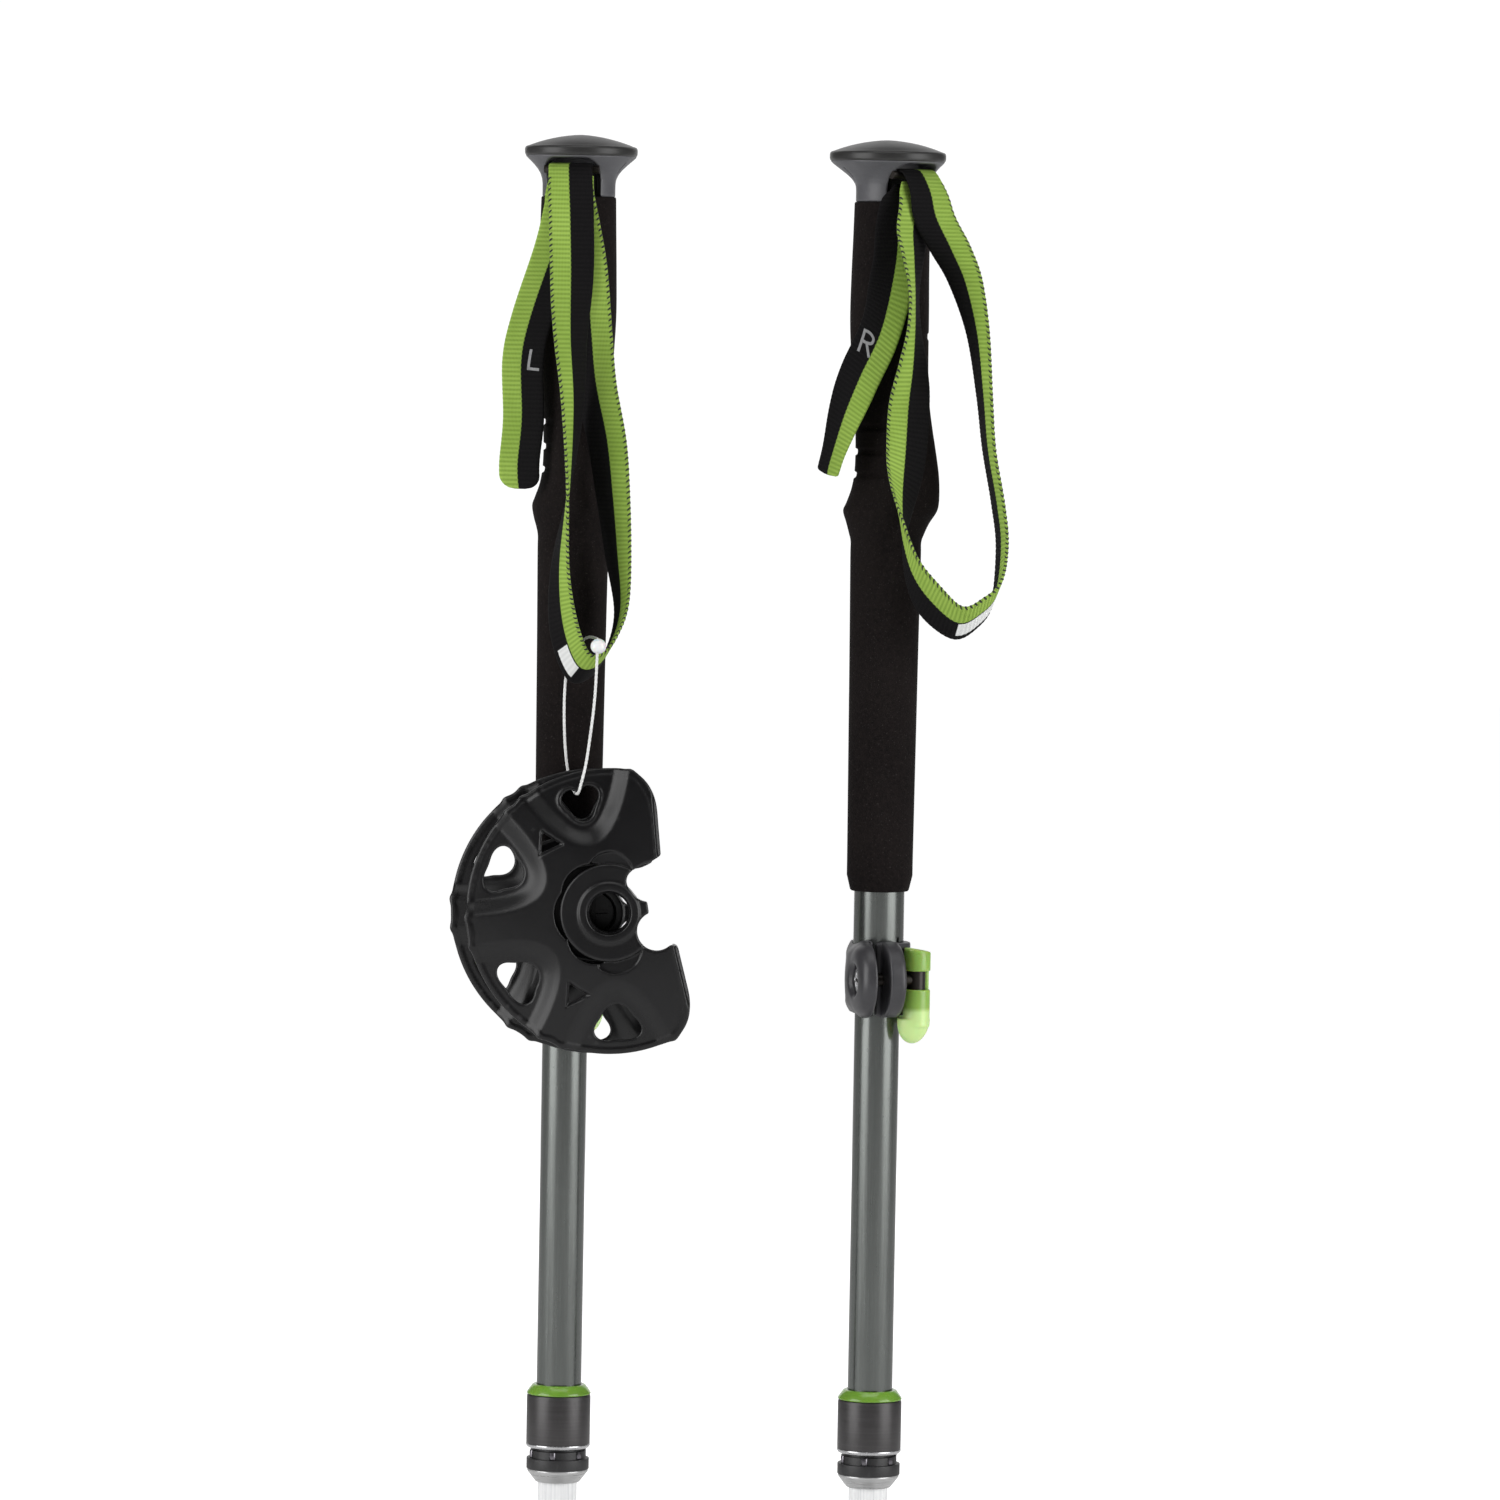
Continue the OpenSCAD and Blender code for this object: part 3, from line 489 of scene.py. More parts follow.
def twisted(path, r, pitch, n=10):
    """Two strands twisted together, as one solid, along a path in millimetres."""
    s = np.r_[0, np.cumsum(np.linalg.norm(np.diff(path, axis=0), axis=1))]
    at = np.linspace(0, s[-1], int(s[-1] / (pitch / 12)))
    p = np.stack([np.interp(at, s, path[:, i]) for i in range(3)], -1)
    t = unit(np.gradient(p, axis=0))
    side = unit(np.cross(t[0], [0, 1, 0.3]))
    rings = []
    for i in range(len(p)):
        side = unit(side - (side @ t[i]) * t[i])
        other = np.cross(t[i], side)
        a = np.arange(n) * 2 * math.pi / n
        rr = r * (0.80 + 0.20 * np.abs(np.cos(a - 2 * math.pi * at[i] / (2 * pitch))) ** 0.7)
        rings.append(p[i] + (rr * np.cos(a))[:, None] * side + (rr * np.sin(a))[:, None] * other)
    v = np.array(rings).reshape(-1, 3)
    f = grid_faces(len(p), n)
    f += [tuple(range(n))[::-1], tuple(range((len(p) - 1) * n, len(p) * n))]
    return v, f, p, s[-1]


line = curve(TAG, 12)
STRING_RADIUS, STRAND_PITCH = 0.52, 1.6
v, f, route, tag_length = twisted(line, STRING_RADIUS, STRAND_PITCH)
string = mesh("tag_string", put(0, v), f, M["string"], "tag_loop")
weld(string)


def bead_shape(p):
    """A soft clasp bead with a seam round it and the string's hole."""
    q = p - np.array([10.3, -34.3, 439.5])
    ball = np.sqrt(q[..., 0] ** 2 + (q[..., 1] / 0.95) ** 2 + (q[..., 2] / 0.98) ** 2) - 2.8
    seam = np.hypot(np.hypot(q[..., 0], q[..., 2]) - 2.85, q[..., 1] + 0.2) - 0.35
    hole = np.hypot(q[..., 0] + 0.2, q[..., 1] + 0.6) - 0.75
    return smax(smax(ball, -seam, 0.3), -smax(hole, 1.2 - np.abs(q[..., 2]), 0.3), 0.4)


v, f = nets(bead_shape, (7, -38, 436), (13.6, -31, 443), 0.22)
bead = mesh("tag_clasp_bead", put(0, v), f, M["bead"], "tag_bead")

# ---------------------------------------------------------------- straps
LEFT_LOOP = [
    [[-10, -9.3, 609.2], [5.4, -12.4, 609.2]], [[-10.4, -12.2, 608.6], [4.8, -15.4, 608.6]],
    [[-10.4, -14.8, 605.6], [4.9, -17.8, 605.6]], [[-10.2, -17.8, 600.5], [5.2, -19.4, 600.5]],
    [[-10, -21, 590], [6, -20.5, 590]], [[-9, -24, 572], [6, -20.5, 572]],
    [[-7, -31, 548], [4, -20.5, 548]], [[-4, -34.5, 524], [3.5, -20.5, 524]],
    [[-1.5, -38.5, 495], [-1, -22.5, 495]], [[-0.5, -38, 467], [-7, -23.5, 467]],
    [[2.5, -36, 449], [-7, -24.5, 444]], [[7, -33, 437.5], [-1, -23.5, 427.5]],
    [[12, -31, 437], [6.5, -20.5, 427.5]], [[17, -30, 444], [12.5, -17.5, 436.5]],
    [[20.5, -29, 455], [15.5, -14.5, 451]], [[21, -28.5, 474], [11.5, -16, 473]],
    [[20, -29.5, 493], [8.5, -20, 493]], [[18.5, -26.5, 512], [5, -19.5, 512]],
    [[14.5, -20.5, 532], [0, -16.5, 532]], [[13, -18.8, 550], [-2.5, -16.3, 550]],
    [[11, -18.2, 573], [-5, -16.8, 573]], [[8, -18, 589], [-8, -17, 589]],
    [[6, -17.4, 597], [-9.5, -16.6, 597]], [[5.3, -16, 602], [-10, -13.6, 602]],
    [[5.4, -14, 605], [-10, -11, 605]]]
LEFT_TAIL = [
    [[-9.8, -8.6, 604], [5.2, -11.6, 604]], [[-10.8, -11, 602], [4.4, -13.6, 602]],
    [[-11.5, -12.8, 598.5], [3.8, -15.6, 598.5]], [[-12, -12.8, 594], [3.5, -15.6, 594]],
    [[-15, -12.5, 580], [0, -15.6, 580]], [[-22.5, -11, 556], [-8, -15.5, 556]],
    [[-26, -10, 540], [-11, -15.5, 540]], [[-25.5, -10, 519], [-10.5, -16, 519]],
    [[-26.5, -9.5, 503], [-12, -16, 503]], [[-26, -9.5, 494], [-11.5, -16, 494]]]
RIGHT_LOOP = [
    [[13.2, -3.3, 609.2], [1, -13.6, 609.2]], [[15, -5.6, 608.6], [3, -15.9, 608.6]],
    [[17, -7.8, 605.6], [4.7, -17.8, 605.6]], [[19.5, -11, 600.5], [6.2, -19.3, 600.5]],
    [[22.5, -15, 592], [7.5, -19, 592]], [[27.5, -22, 581], [14, -18, 581]],
    [[31.5, -25, 570], [20.5, -15.5, 570]], [[34.5, -27.5, 552], [27, -14, 552]],
    [[36, -29, 530], [31, -14, 530]], [[37.5, -29.5, 511], [33.5, -14, 511]],
    [[41, -30, 492], [37, -14.5, 492]], [[42.5, -30.5, 478], [39, -15, 476]],
    [[40.5, -31, 465], [37.5, -18, 456]], [[34, -31.5, 458.5], [32, -20.5, 447.5]],
    [[27, -31.5, 456], [24, -21, 443.5]], [[19, -31, 463], [13.5, -22, 450.5]],
    [[11, -30, 472], [8, -20, 461]], [[5.5, -28.5, 485], [6, -18, 475]],
    [[2, -27, 496], [8, -18.5, 489]], [[-0.5, -24.5, 512], [13, -19, 508]],
    [[0, -23.5, 526], [14, -17.5, 526]], [[3, -26, 539], [13, -15, 539]],
    [[6, -29, 553], [10.5, -15, 553]], [[6.5, -29, 566], [9.5, -15.5, 566]],
    [[4, -26, 580], [11, -14.5, 580]], [[2, -23, 588], [12.5, -13, 588]],
    [[2.5, -20, 597], [14.5, -10.5, 597]], [[2.5, -17.8, 602], [14.5, -8, 602]],
    [[3, -16, 605], [15, -5.8, 605]]]
RIGHT_TAIL = [
    [[12.6, -4, 604], [0.5, -13.8, 604]], [[11.5, -7.5, 602], [-0.5, -15.5, 602]],
    [[9.5, -11.8, 598.5], [-3, -16.4, 598.5]], [[8, -13.2, 590], [-4.5, -16.4, 590]],
    [[7, -15, 575], [-5.5, -17, 575]], [[3, -17.5, 548], [-10, -15.5, 558]],
    [[-4, -17.5, 531], [-17.5, -13.5, 541]], [[-11, -17, 520], [-20, -9, 526]],
    [[-16, -16, 509], [-22, -5.5, 512]], [[-18.5, -16, 500], [-24.5, -4, 502]]]


class Ribbon:
    """A strap's middle line with its side and face directions, at even steps."""

    def __init__(self, stations, gap=0.4):
        edge = curve([s[0] for s in stations], 16)
        far = curve([s[1] for s in stations], 16)
        mid, side = (edge + far) / 2, unit(edge - far)
        s = np.r_[0, np.cumsum(np.linalg.norm(np.diff(mid, axis=0), axis=1))]
        self.marks = s[::16]
        self.length = s[-1]
        self.s = np.linspace(0, s[-1], int(s[-1] / gap) + 1)
        self.mid = np.stack([np.interp(self.s, s, mid[:, i]) for i in range(3)], -1)
        w = np.stack([np.interp(self.s, s, side[:, i]) for i in range(3)], -1)
        self.along = unit(np.gradient(self.mid, axis=0))
        self.side = unit(w)
        self.face = unit(np.cross(self.along, self.side))

    def at(self, s, c, h):
        """The point at arc length s, c to the stitched edge and h off the middle plane."""
        s = np.asarray(s, float)
        mid, side, face = (np.stack([np.interp(s, self.s, a[:, i]) for i in range(3)], -1)
                           for a in (self.mid, self.side, self.face))
        return mid + np.asarray(c, float)[..., None] * side + np.asarray(h, float)[..., None] * face


def strap_mesh(name, side, ribbon, node, patch, round_end=0.0):
    """Webbing 16 mm wide along a ribbon, ribbed across, with its own map for the colours."""
    cs = np.array([-8, -7.9, -7.4, -6.2, -4.6, -3, -1.4, 0, 1.4, 3, 4.6, 6.2, 7.4, 7.9, 8]) * 0.994
    low = np.array([0.0, 0.55, 0.92, 1, 1, 1, 1, 1, 1, 1, 1, 1, 0.92, 0.55, 0.0])
    c = np.r_[cs, cs[-2:0:-1]]
    face = np.r_[low, -low[-2:0:-1]]
    s = ribbon.s
    half = 0.40 + 0.16 * np.sqrt(np.abs(np.cos(math.pi * s / RIB)))
    half *= 1 - 0.5 * step(ribbon.length - 2.5, ribbon.length, s) * (round_end > 0)
    narrow = np.ones(len(s))
    if round_end:
        left = np.clip(ribbon.length - s, 0, round_end) / round_end
        narrow = 0.25 + 0.75 * np.sqrt(np.clip(1 - (1 - left) ** 2, 0, 1))
    wave = 1 - 0.006 * (1 - np.abs(np.cos(math.pi * s / RIB)))
    grid_c = c[None, :] * (narrow * wave)[:, None]
    grid_h = face[None, :] * half[:, None]
    pts = ribbon.at(np.repeat(s[:, None], len(c), 1), grid_c, grid_h)
    n = len(c)
    v = pts.reshape(-1, 3)
    f = grid_faces(len(s), n)
    f += [tuple(range(n))[::-1], tuple(range((len(s) - 1) * n, len(s) * n))]
    o = mesh(name, put(side, v), f, M[f"{SIDES[side]}_webbing"], node)
    uv = o.data.uv_layers.new(name="web")
    u_of = np.clip(0.5 - grid_c / 16, 0, 1).reshape(-1)
    v_of = np.repeat((s - patch)[:, None], n, 1).reshape(-1)
    loops = np.empty(len(o.data.loops), int)
    o.data.loops.foreach_get("vertex_index", loops)
    uv.data.foreach_set("uv", np.stack([u_of[loops], v_of[loops]], -1).reshape(-1))
    return o


def stitches(name, side, ribbon, node, start, end, pitch=2.0):
    """Whipped stitches over the green edge."""
    v, f = [], []
    path = np.array([[6.9, 0.54], [7.4, 0.58], [7.93, 0.34], [8.0, 0.0],
                     [7.93, -0.34], [7.4, -0.58], [6.9, -0.54]])
    for s in np.arange(start, end, pitch):
        base = len(v)
        for i, (c, h) in enumerate(path):
            lean = 0.5 * (c - 7.4) / 0.7
            wide = 0.2 if i in (0, 6) else 0.36
            h2 = h + math.copysign(0.08, h) if h else 0.0
            out = 0.0 if h else 0.07
            for ds, raise_ in ((-wide, 0), (0, 1), (wide, 0)):
                v.append(ribbon.at(s + lean + ds, c + out * raise_, h + (h2 - h) * raise_))
        f += [(base + 3 * i + j, base + 3 * i + j + 1, base + 3 * i + j + 4, base + 3 * i + j + 3)
              for i in range(6) for j in range(2)]
    return mesh(name, put(side, np.array(v)), f, M["stitch"], node, also=None)


def mark(name, side, ribbon, node, strokes, s0, c0, height, turn, flip, way):
    """A painted hand mark laid on the webbing, from strokes in a unit box."""
    v, f = [], []
    for stroke in strokes:
        p = curve(stroke, 6) if len(stroke) > 2 else np.linspace(*np.array(stroke, float), 8)
        p = (p - [0.3, 0.5]) * height
        t = unit(np.gradient(p, axis=0))
        q = np.stack([-t[:, 1], t[:, 0]], -1) * 0.5
        base = len(v)
        for edge in np.concatenate([p + q, p - q]):
            x, y = turned_by(*edge, turn)
            v.append(ribbon.at(s0 - y, c0 + way * x, flip * 0.64))
        n = len(p)
        f += [(base + i, base + i + 1, base + n + i + 1, base + n + i) for i in range(n - 1)]
    return mesh(name, put(side, np.array(v)), f, M["mark"], node, also=None)


LETTER = {
    "L": [[(0.05, 1.0), (0.05, 0.0)], [(0.0, 0.07), (0.6, 0.07)]],
    "R": [[(0.05, 0.0), (0.05, 1.0)],
          [(0.05, 0.93), (0.30, 0.95), (0.52, 0.86), (0.58, 0.73), (0.52, 0.58), (0.30, 0.50),
           (0.05, 0.50)],
          [(0.30, 0.50), (0.62, 0.0)]],
}
# loop, tail, the station of the white patch, the tail's end rounding, then the letter with its
# place along and across the tail, height, turn and reading direction
STRAPS = (
    (LEFT_LOOP, LEFT_TAIL, 10.75, 5.0, ("L", 68.0, -4.5, 7.4, -4.0, -1)),
    (RIGHT_LOOP, RIGHT_TAIL, 12.95, 1.2, ("R", 62.0, -2.9, 8.0, 8.0, 1)))


for side, (loop, tail, patch_at, end_round, (letter, s0, c0, height, lean, way)) in enumerate(STRAPS):
    name = SIDES[side]
    r = Ribbon(loop)
    patch = np.interp(patch_at, np.arange(len(r.marks)), r.marks)
    o = strap_mesh(f"{name}_strap_loop", side, r, f"{name}_strap", patch)
    sewn = stitches(f"{name}_strap_stitches", side, r, f"{name}_strap", 9, r.length - 6)
    r = Ribbon(tail)
    no_patch = r.length + 60
    o = strap_mesh(f"{name}_strap_end", side, r, f"{name}_strap_tail", no_patch, end_round)
    flip = -1 if r.face[len(r.face) // 2][1] > 0 else 1
    painted = mark(f"{name}_hand_mark", side, r, f"{name}_strap_tail", LETTER[letter], s0, c0, height, lean,
                   flip, way)

# ---------------------------------------------------------------- hand grips
# height, then half the width, the reach to the fingers and the reach to the palm
GRIP = [
    (598, 13.3, 13.4, 13.5), (585, 13.6, 13.7, 13.6), (572, 13.9, 14.1, 13.6),
    (557, 14.1, 14.3, 13.8), (545, 13.6, 13.8, 14.0), (535, 12.9, 13.2, 14.4),
    (526, 12.0, 12.4, 15.4), (518, 11.4, 11.8, 16.9), (510, 11.1, 11.6, 18.6),
    (502, 11.3, 11.8, 20.0), (496, 12.2, 12.8, 20.3), (491, 13.9, 14.5, 19.8),
    (488, 14.8, 15.7, 18.6), (484, 14.2, 14.4, 15.6), (480, 13.1, 13.3, 13.6),
    (477, 12.6, 12.6, 12.6), (471, 12.6, 12.6, 12.6), (440, 12.3, 12.3, 12.3), (400, 12.0, 12.0, 12.0),
    (364, 11.75, 11.75, 11.75)]
GROOVES = (518.0, 509.2, 501.0)


def hand_grip(side):
    g = curve(GRIP, 10)
    z = np.concatenate([np.arange(597.4, 485, -0.55), np.arange(485, 470, -0.8),
                        np.arange(470, 360, -2.6), [360, 358.8, 358.2]])
    table = np.array([[np.interp(-q, -g[:, 0], g[:, i]) for i in (1, 2, 3)] for q in z])
    n = 120
    a = np.arange(n) * 2 * math.pi / n
    c, s = np.cos(a), np.sin(a)
    rows = [np.stack([r * c, r * s, np.full(n, q)], -1)
            for r, q in ((9.04, 598.0), (12.55, 598.0), (13.05, 597.9))]
    for q, (w, fing, palm) in zip(z, table):
        y = np.where(s < 0, palm, fing) * s
        x = w * c
        rings = sum(step(zc - 1.25, zc - 0.8, q) * (1 - step(zc + 0.8, zc + 1.25, q)) for zc in GROOVES)
        cut = 0.85 * rings * step(-0.82, -0.58, s)
        nick = 0.8 * step(549.3, 549.9, q) * (1 - step(551.2, 551.9, q)) * step(0.72, 0.86, -s)
        r = np.hypot(x, y)
        k = 1 - (cut + nick) / r
        rows.append(np.stack([x * k, y * k, np.full(n, q)], -1))
    rows += [np.stack([r * c, r * s, np.full(n, q)], -1) for r, q in (
        (11.68, 357.9), (11.5, 357.2), (10.7, 353.8), (10.5, 353.0), (10.1, 352.6), (9.04, 352.5))]
    v = np.array(rows).reshape(-1, 3)
    f = grid_faces(len(rows), n)
    o = mesh(f"{SIDES[side]}_hand_grip", put(side, v, GRIP_TURN[side]), f, M["foam"],
             f"{SIDES[side]}_foam_grip")
    weld(o)


# ---------------------------------------------------------------- heads
FLARE_Z = [590, 598, 602.5, 604.2, 606, 607.5, 609, 610.3, 611.4, 612.1, 613]
FLARE_R = [12.95, 12.95, 12.98, 13.2, 13.85, 14.8, 16.1, 17.4, 18.6, 19.3, 19.6]


def head_shape(slit):
    def f(p):
        x, y, z = p[..., 0], p[..., 1], p[..., 2]
        t = step(603.0, 612.0, z)
        r = np.interp(z, FLARE_Z, FLARE_R)
        yy = y - 2.8 * t
        yy = yy - np.clip(yy, -1.3 * t, 1.3 * t)
        d = (np.hypot(x, yy) - r) * 0.82
        d = smax(d, z - 612.6, 0.4)
        d = smax(d, 598.0 - z, 0.3)
        q = np.stack([x, z], -1) - np.array([0, 599.4])
        q = np.abs(q) - np.array([9.5, 12.2]) + 4.0
        arch = np.linalg.norm(np.maximum(q, 0), axis=-1) + np.minimum(q.max(-1), 0) - 4.0
        d = smax(d, -smax(arch, y + 4.5, 0.5), 0.7)
        u, w = turned_by(x, y, -slit)
        cut = smax(smax(np.abs(w) - 0.35, np.abs(z - 608.2) - 1.9, 0.2), np.abs(u - r - 0.2) - 1.6, 0.3)
        return smax(d, -cut, 0.25)
    return f


def loft(rings, n):
    """Oval rings: radius, height, shift to the fingers, and half of the stretch."""
    a = np.arange(n) * 2 * math.pi / n
    c, s = np.cos(a), np.sin(a)
    rows = [np.stack([r * c, shift + r * s + long * np.tanh(2.5 * s), np.full(n, z)], -1)
            for r, z, shift, long in rings]
    v = np.array(rows).reshape(-1, 3)
    f = grid_faces(len(rings), n)
    f += [tuple(range(n))[::-1], tuple(range((len(rings) - 1) * n, len(rings) * n))]
    return v, f


CAP = [(16.6, 612.35), (18.9, 612.3), (19.45, 612.42), (19.75, 612.8), (19.9, 613.4), (19.92, 614.6),
       (19.8, 615.2), (19.5, 615.6), (19.0, 615.82), (18.4, 616.0), (17.0, 616.55), (15.0, 617.25),
       (12.5, 618.0), (10.0, 618.62), (7.5, 619.15), (5.0, 619.55), (2.5, 619.85), (0.8, 619.95)]


def heads(side):
    name, turn = SIDES[side], HEAD_TURN[side]
    v, f = nets(head_shape((-2.0, 156.0)[side]), (-21, -20.5, 596), (21, 25.5, 614), 0.5)
    mesh(f"{name}_head", put(side, v, turn), f, M["grip_plastic"], f"{name}_grip_head")
    v, f = loft([(r, z, 2.8, 1.3 * min(1.0, r / 9)) for r, z in CAP], 112)
    # the cap takes the head's plastic painted darker, as painted shade
    o = mesh(f"{name}_cap", put(side, v, turn), f, M["cap_plastic"], f"{name}_top_cover")
    sharp(weld(o), 50)


# ---------------------------------------------------------------- snow baskets
POCKETS = (95.5, 150.0, 208.5, 265.0)  # degrees at which the four hollows with holes stand
# crescents cut into the hub's ring: direction, width, radius, where they end square, and depth
CRESCENTS = ((79.5, 4.3, 8.2, 103, 1.1), (124, 2.3, 10.5, 400, 6), (174, 2.1, 11.5, 400, 6),
             (231, 2.2, 9.5, 400, 6), (272, 4.5, 9.4, 250, 1.1))
SLOTS = ((122.4, 32.6), (238.4, 31.4))  # direction and distance of the small triangles


def three_sided(u, v, r, lobe, tall):
    a = np.arctan2(v / tall, u)
    return np.hypot(u, v / tall) - r * (1 - lobe * np.cos(3 * a))


def basket_shape(p):
    x, y, z = p[..., 0], p[..., 1], p[..., 2]
    rho, ang = np.hypot(x, y), np.degrees(np.arctan2(y, x)) % 360
    out = np.clip((rho - 16.8) / 34.2, 0, 1.1)
    top = 10.5 - 5.2 * out ** 1.35
    edge_r = np.full(rho.shape, 50.6)
    lower = np.zeros(rho.shape)
    bead_up = np.zeros(rho.shape)
    holes = np.full(rho.shape, 99.0)
    lips = np.zeros(rho.shape)
    k = 0.060
    for i, a in enumerate(POCKETS):
        u, v = turned_by(x, y, -a)
        inside = (u - 25.0 - k * v * v) / np.sqrt(1 + (2 * k * v) ** 2)
        lower = np.maximum(lower, 3.5 * step(-1.6, 6.6, inside))
        bead_up = np.maximum(bead_up, 0.06 * np.exp(-((inside + 0.6) / 0.7) ** 2) * (u > 10))
        edge_r = edge_r + 0.7 * np.exp(-((np.abs(v) - 20.3) / 1.7) ** 2) * (u > 30)
        if i == 0:
            h = three_sided(u - 40.0, v, 5.7, 0.15, 1.08) + 1.5 * np.exp(-(v / 1.6) ** 2) * (u > 40.0)
            lips = np.maximum(lips, 0.45 * np.exp(-((h - 0.9) / 0.7) ** 2))
        else:
            h = three_sided(u - 40.2, v, 6.5, 0.15, 1.2)
        holes = np.minimum(holes, h)
    flange = step(18.9, 19.5, x - 0.075 * np.abs(y) + 0.5 * np.tanh(y / 5))
    top = top - lower + bead_up * (1 - step(0.5, 2.5, lower)) + lips - 1.5 * flange
    shift = top - lips - bead_up
    outline = smax(rho - edge_r, x - 20.2 - 0.075 * np.abs(y) + 0.5 * np.tanh(y / 5), 12.0)
    d = smax(smax(z - top, (shift - 2.2) - z, 0.4), outline, 0.7)
    wall = smax(np.abs(outline + 0.9) - 0.9, smax(z - (shift + 0.25), 0.9 + 0.2 * lower - z, 0.5), 0.6)
    d = smin(d, wall, 0.8)
    # the ring round the hub, with crescent cuts that ramp up to its face
    d = smin(d, rod(p, 2, 17.1, (0, 0), 7.2, 11.1, 0.5), 0.5)
    for mid, wide, big, blunt, deep in CRESCENTS:
        cx, cy = polar(17.3 + wide - big, mid)
        crescent = np.maximum(np.hypot(x - cx, y - cy) - big, 17.3 - rho)
        floor = 9.9 - deep
        if blunt < 400:
            way = 1 if blunt < 200 else -1
            end = (ang - blunt) * way * rho * math.pi / 180
            crescent = np.maximum(crescent, end)
            floor = floor + 1.0 * (1 - step(-14.0, 0.0, end))
        d = smax(d, -np.maximum(crescent, floor - z), 0.25)
    d = smin(d, rod(p, 2, 11.0, (0, 0), 0.0, 12.0, 1.1), 0.7)
    thread_in = np.clip(np.cos(2 * math.pi * (z / 2.4 - ang / 360)), 0, 1) ** 0.8 * step(11.4, 10.2, z)
    d = smax(d, -(rho - 7.75 + 0.75 * thread_in), 0.5)
    d = smax(d, -holes, 0.8)
    for a, r in SLOTS:
        cx, cy = polar(r, a)
        u, v = turned_by(x - cx, y - cy, 12)
        tri = np.maximum(np.maximum(-u - 2.1, u * 0.5 + v * 0.9 - 2.1), u * 0.5 - v * 0.9 - 2.1)
        d = smax(d, -tri, 0.7)
        d = smax(d, -np.maximum(tri - 0.7, top - 0.8 - z), 0.5)
    mouth = smin(np.hypot(x - 15.4, y - 8.3) - 6.7, np.hypot(x - 12.2, y - 9.4) - 4.4, 0.4)
    mouth = smin(mouth, np.hypot(x - 15.6, y + 9.0) - 6.9, 0.2)
    mouth = smin(mouth, np.maximum(np.maximum(13.9 - x, y - 11.5), -8.0 - y), 0.5)
    mouth = smin(mouth, np.maximum(np.maximum(12.5 - x, 6.0 - y), y - 13.2 - 0.42 * (x - 12)), 1.2)
    mouth = smin(mouth, np.maximum(np.maximum(15.5 - x, y), -y - 13.6 - 0.62 * (x - 18.6)), 1.2)
    mouth = np.maximum(mouth, 10.2 - rho)
    return smax(d, -mouth, 0.7)


v, f = nets(basket_shape, (-52.5, -52.5, -0.8), (25, 52.5, 13), 0.55)
for which, x0, back, z0, turn in (("front", 15.7, -27.5, 345.6, 10), ("rear", 10.0, -13.5, 344.6, 2.5)):
    x, z = turned_by(v[:, 0], v[:, 1], turn)
    w = np.stack([x0 + x, back - v[:, 2], z0 + z], -1)
    mesh(f"snow_dish_{which}", put(0, w), f, M["basket_plastic"], f"snow_basket_{which}")


# ---------------------------------------------------------------- clamps
def clamp_shape(p):
    x, y, z = p[..., 0], p[..., 1], p[..., 2]
    rho = np.hypot(x, y)
    d = rod(p, 2, 11.5, (0, 0), 308.2, 334.8, 0.9)
    far = np.hypot(y - SCREW_Y, z - SCREW_Z)
    left = smax(smax(far - 13.3, -x - 12.25, 6.5), x + 6.3, 0.8)
    right = smax(smax(far - 13.3, x - 4.3, 1.8), -x - 1.7, 0.8)
    d = smax(d, np.abs(z - SCREW_Z) - 13.3 + 1.1 * np.clip(-x - 8.0, 0, 4), 1.5)
    d = smin(smin(d, left, 3.5), right, 1.6)
    d = smax(d, -smax(np.maximum(np.maximum(-6.3 - x, x + 1.7), y), 11.2 - rho, 0.3), 0.5)
    d = smax(d, -np.maximum(np.abs(x + 4.0) - 0.7, y), 0.3)
    d = smax(d, -np.maximum(far - 5.3 - 0.9 * np.clip(-x - 11.0, 0, 2), x + 9.5), 0.4)
    d = smax(d, -(rho - 9.03), 0.3)
    return smax(d, -(far - 2.1), 0.2)


def lever_shape(p):
    x, y, z = p[..., 0], p[..., 1], p[..., 2]
    dx, dy = x - BARREL_X, y - SCREW_Y
    off = np.hypot(dx, dy)
    cam = rod(p, 2, 4.75, (BARREL_X, SCREW_Y), 304.6, 333.4, 0.9)
    gap = np.maximum(off - 6.5, np.abs(z - SCREW_Z) - 3.3)
    keep = np.maximum(0.6 - dx, 0.6 - dy)
    cam = smax(cam, -np.maximum(gap, -keep), 0.5)
    rho, ang = np.hypot(x, y), np.degrees(np.arctan2(y, x))
    arm = smax(np.abs(rho - 13.65) - 1.35, np.abs(z - 317.5) - 12.9, 1.0)
    ends = np.maximum(-36 - ang, ang - 118) * math.radians(1) * rho
    taper = (np.abs(z - 317.5) - 12.9) + np.maximum(0, (ang - 60) / 58) ** 2 * 5.0
    arm = smax(smax(arm, ends, 1.2), taper, 1.0)
    t = np.clip((z - 300.0) / 10.0, 0, 1)
    high = (z - 307.2) / np.where(z > 307.2, 0.9, 1.62)
    wide, deep = (dx + 1.2 - 0.6 * t) / 1.12, (dy - 1.0 + 0.4 * t) / 0.95
    lobe = np.sqrt(wide ** 2 + deep ** 2 + high ** 2) - 5.25
    lobe = smax(lobe, -np.maximum(4.7 - off, 307.8 - z), 0.3)
    d = smin(smin(cam, arm, 1.5), lobe, 0.3)
    d = smax(d, -(np.maximum(rho - 11.72, 308.0 - z)), 0.3)
    d = smax(d, z - 333.2 + 0.16 * (dx + 5), 0.6)
    return smax(d, -np.maximum(off - 3.08, 306.2 - z), 0.3)


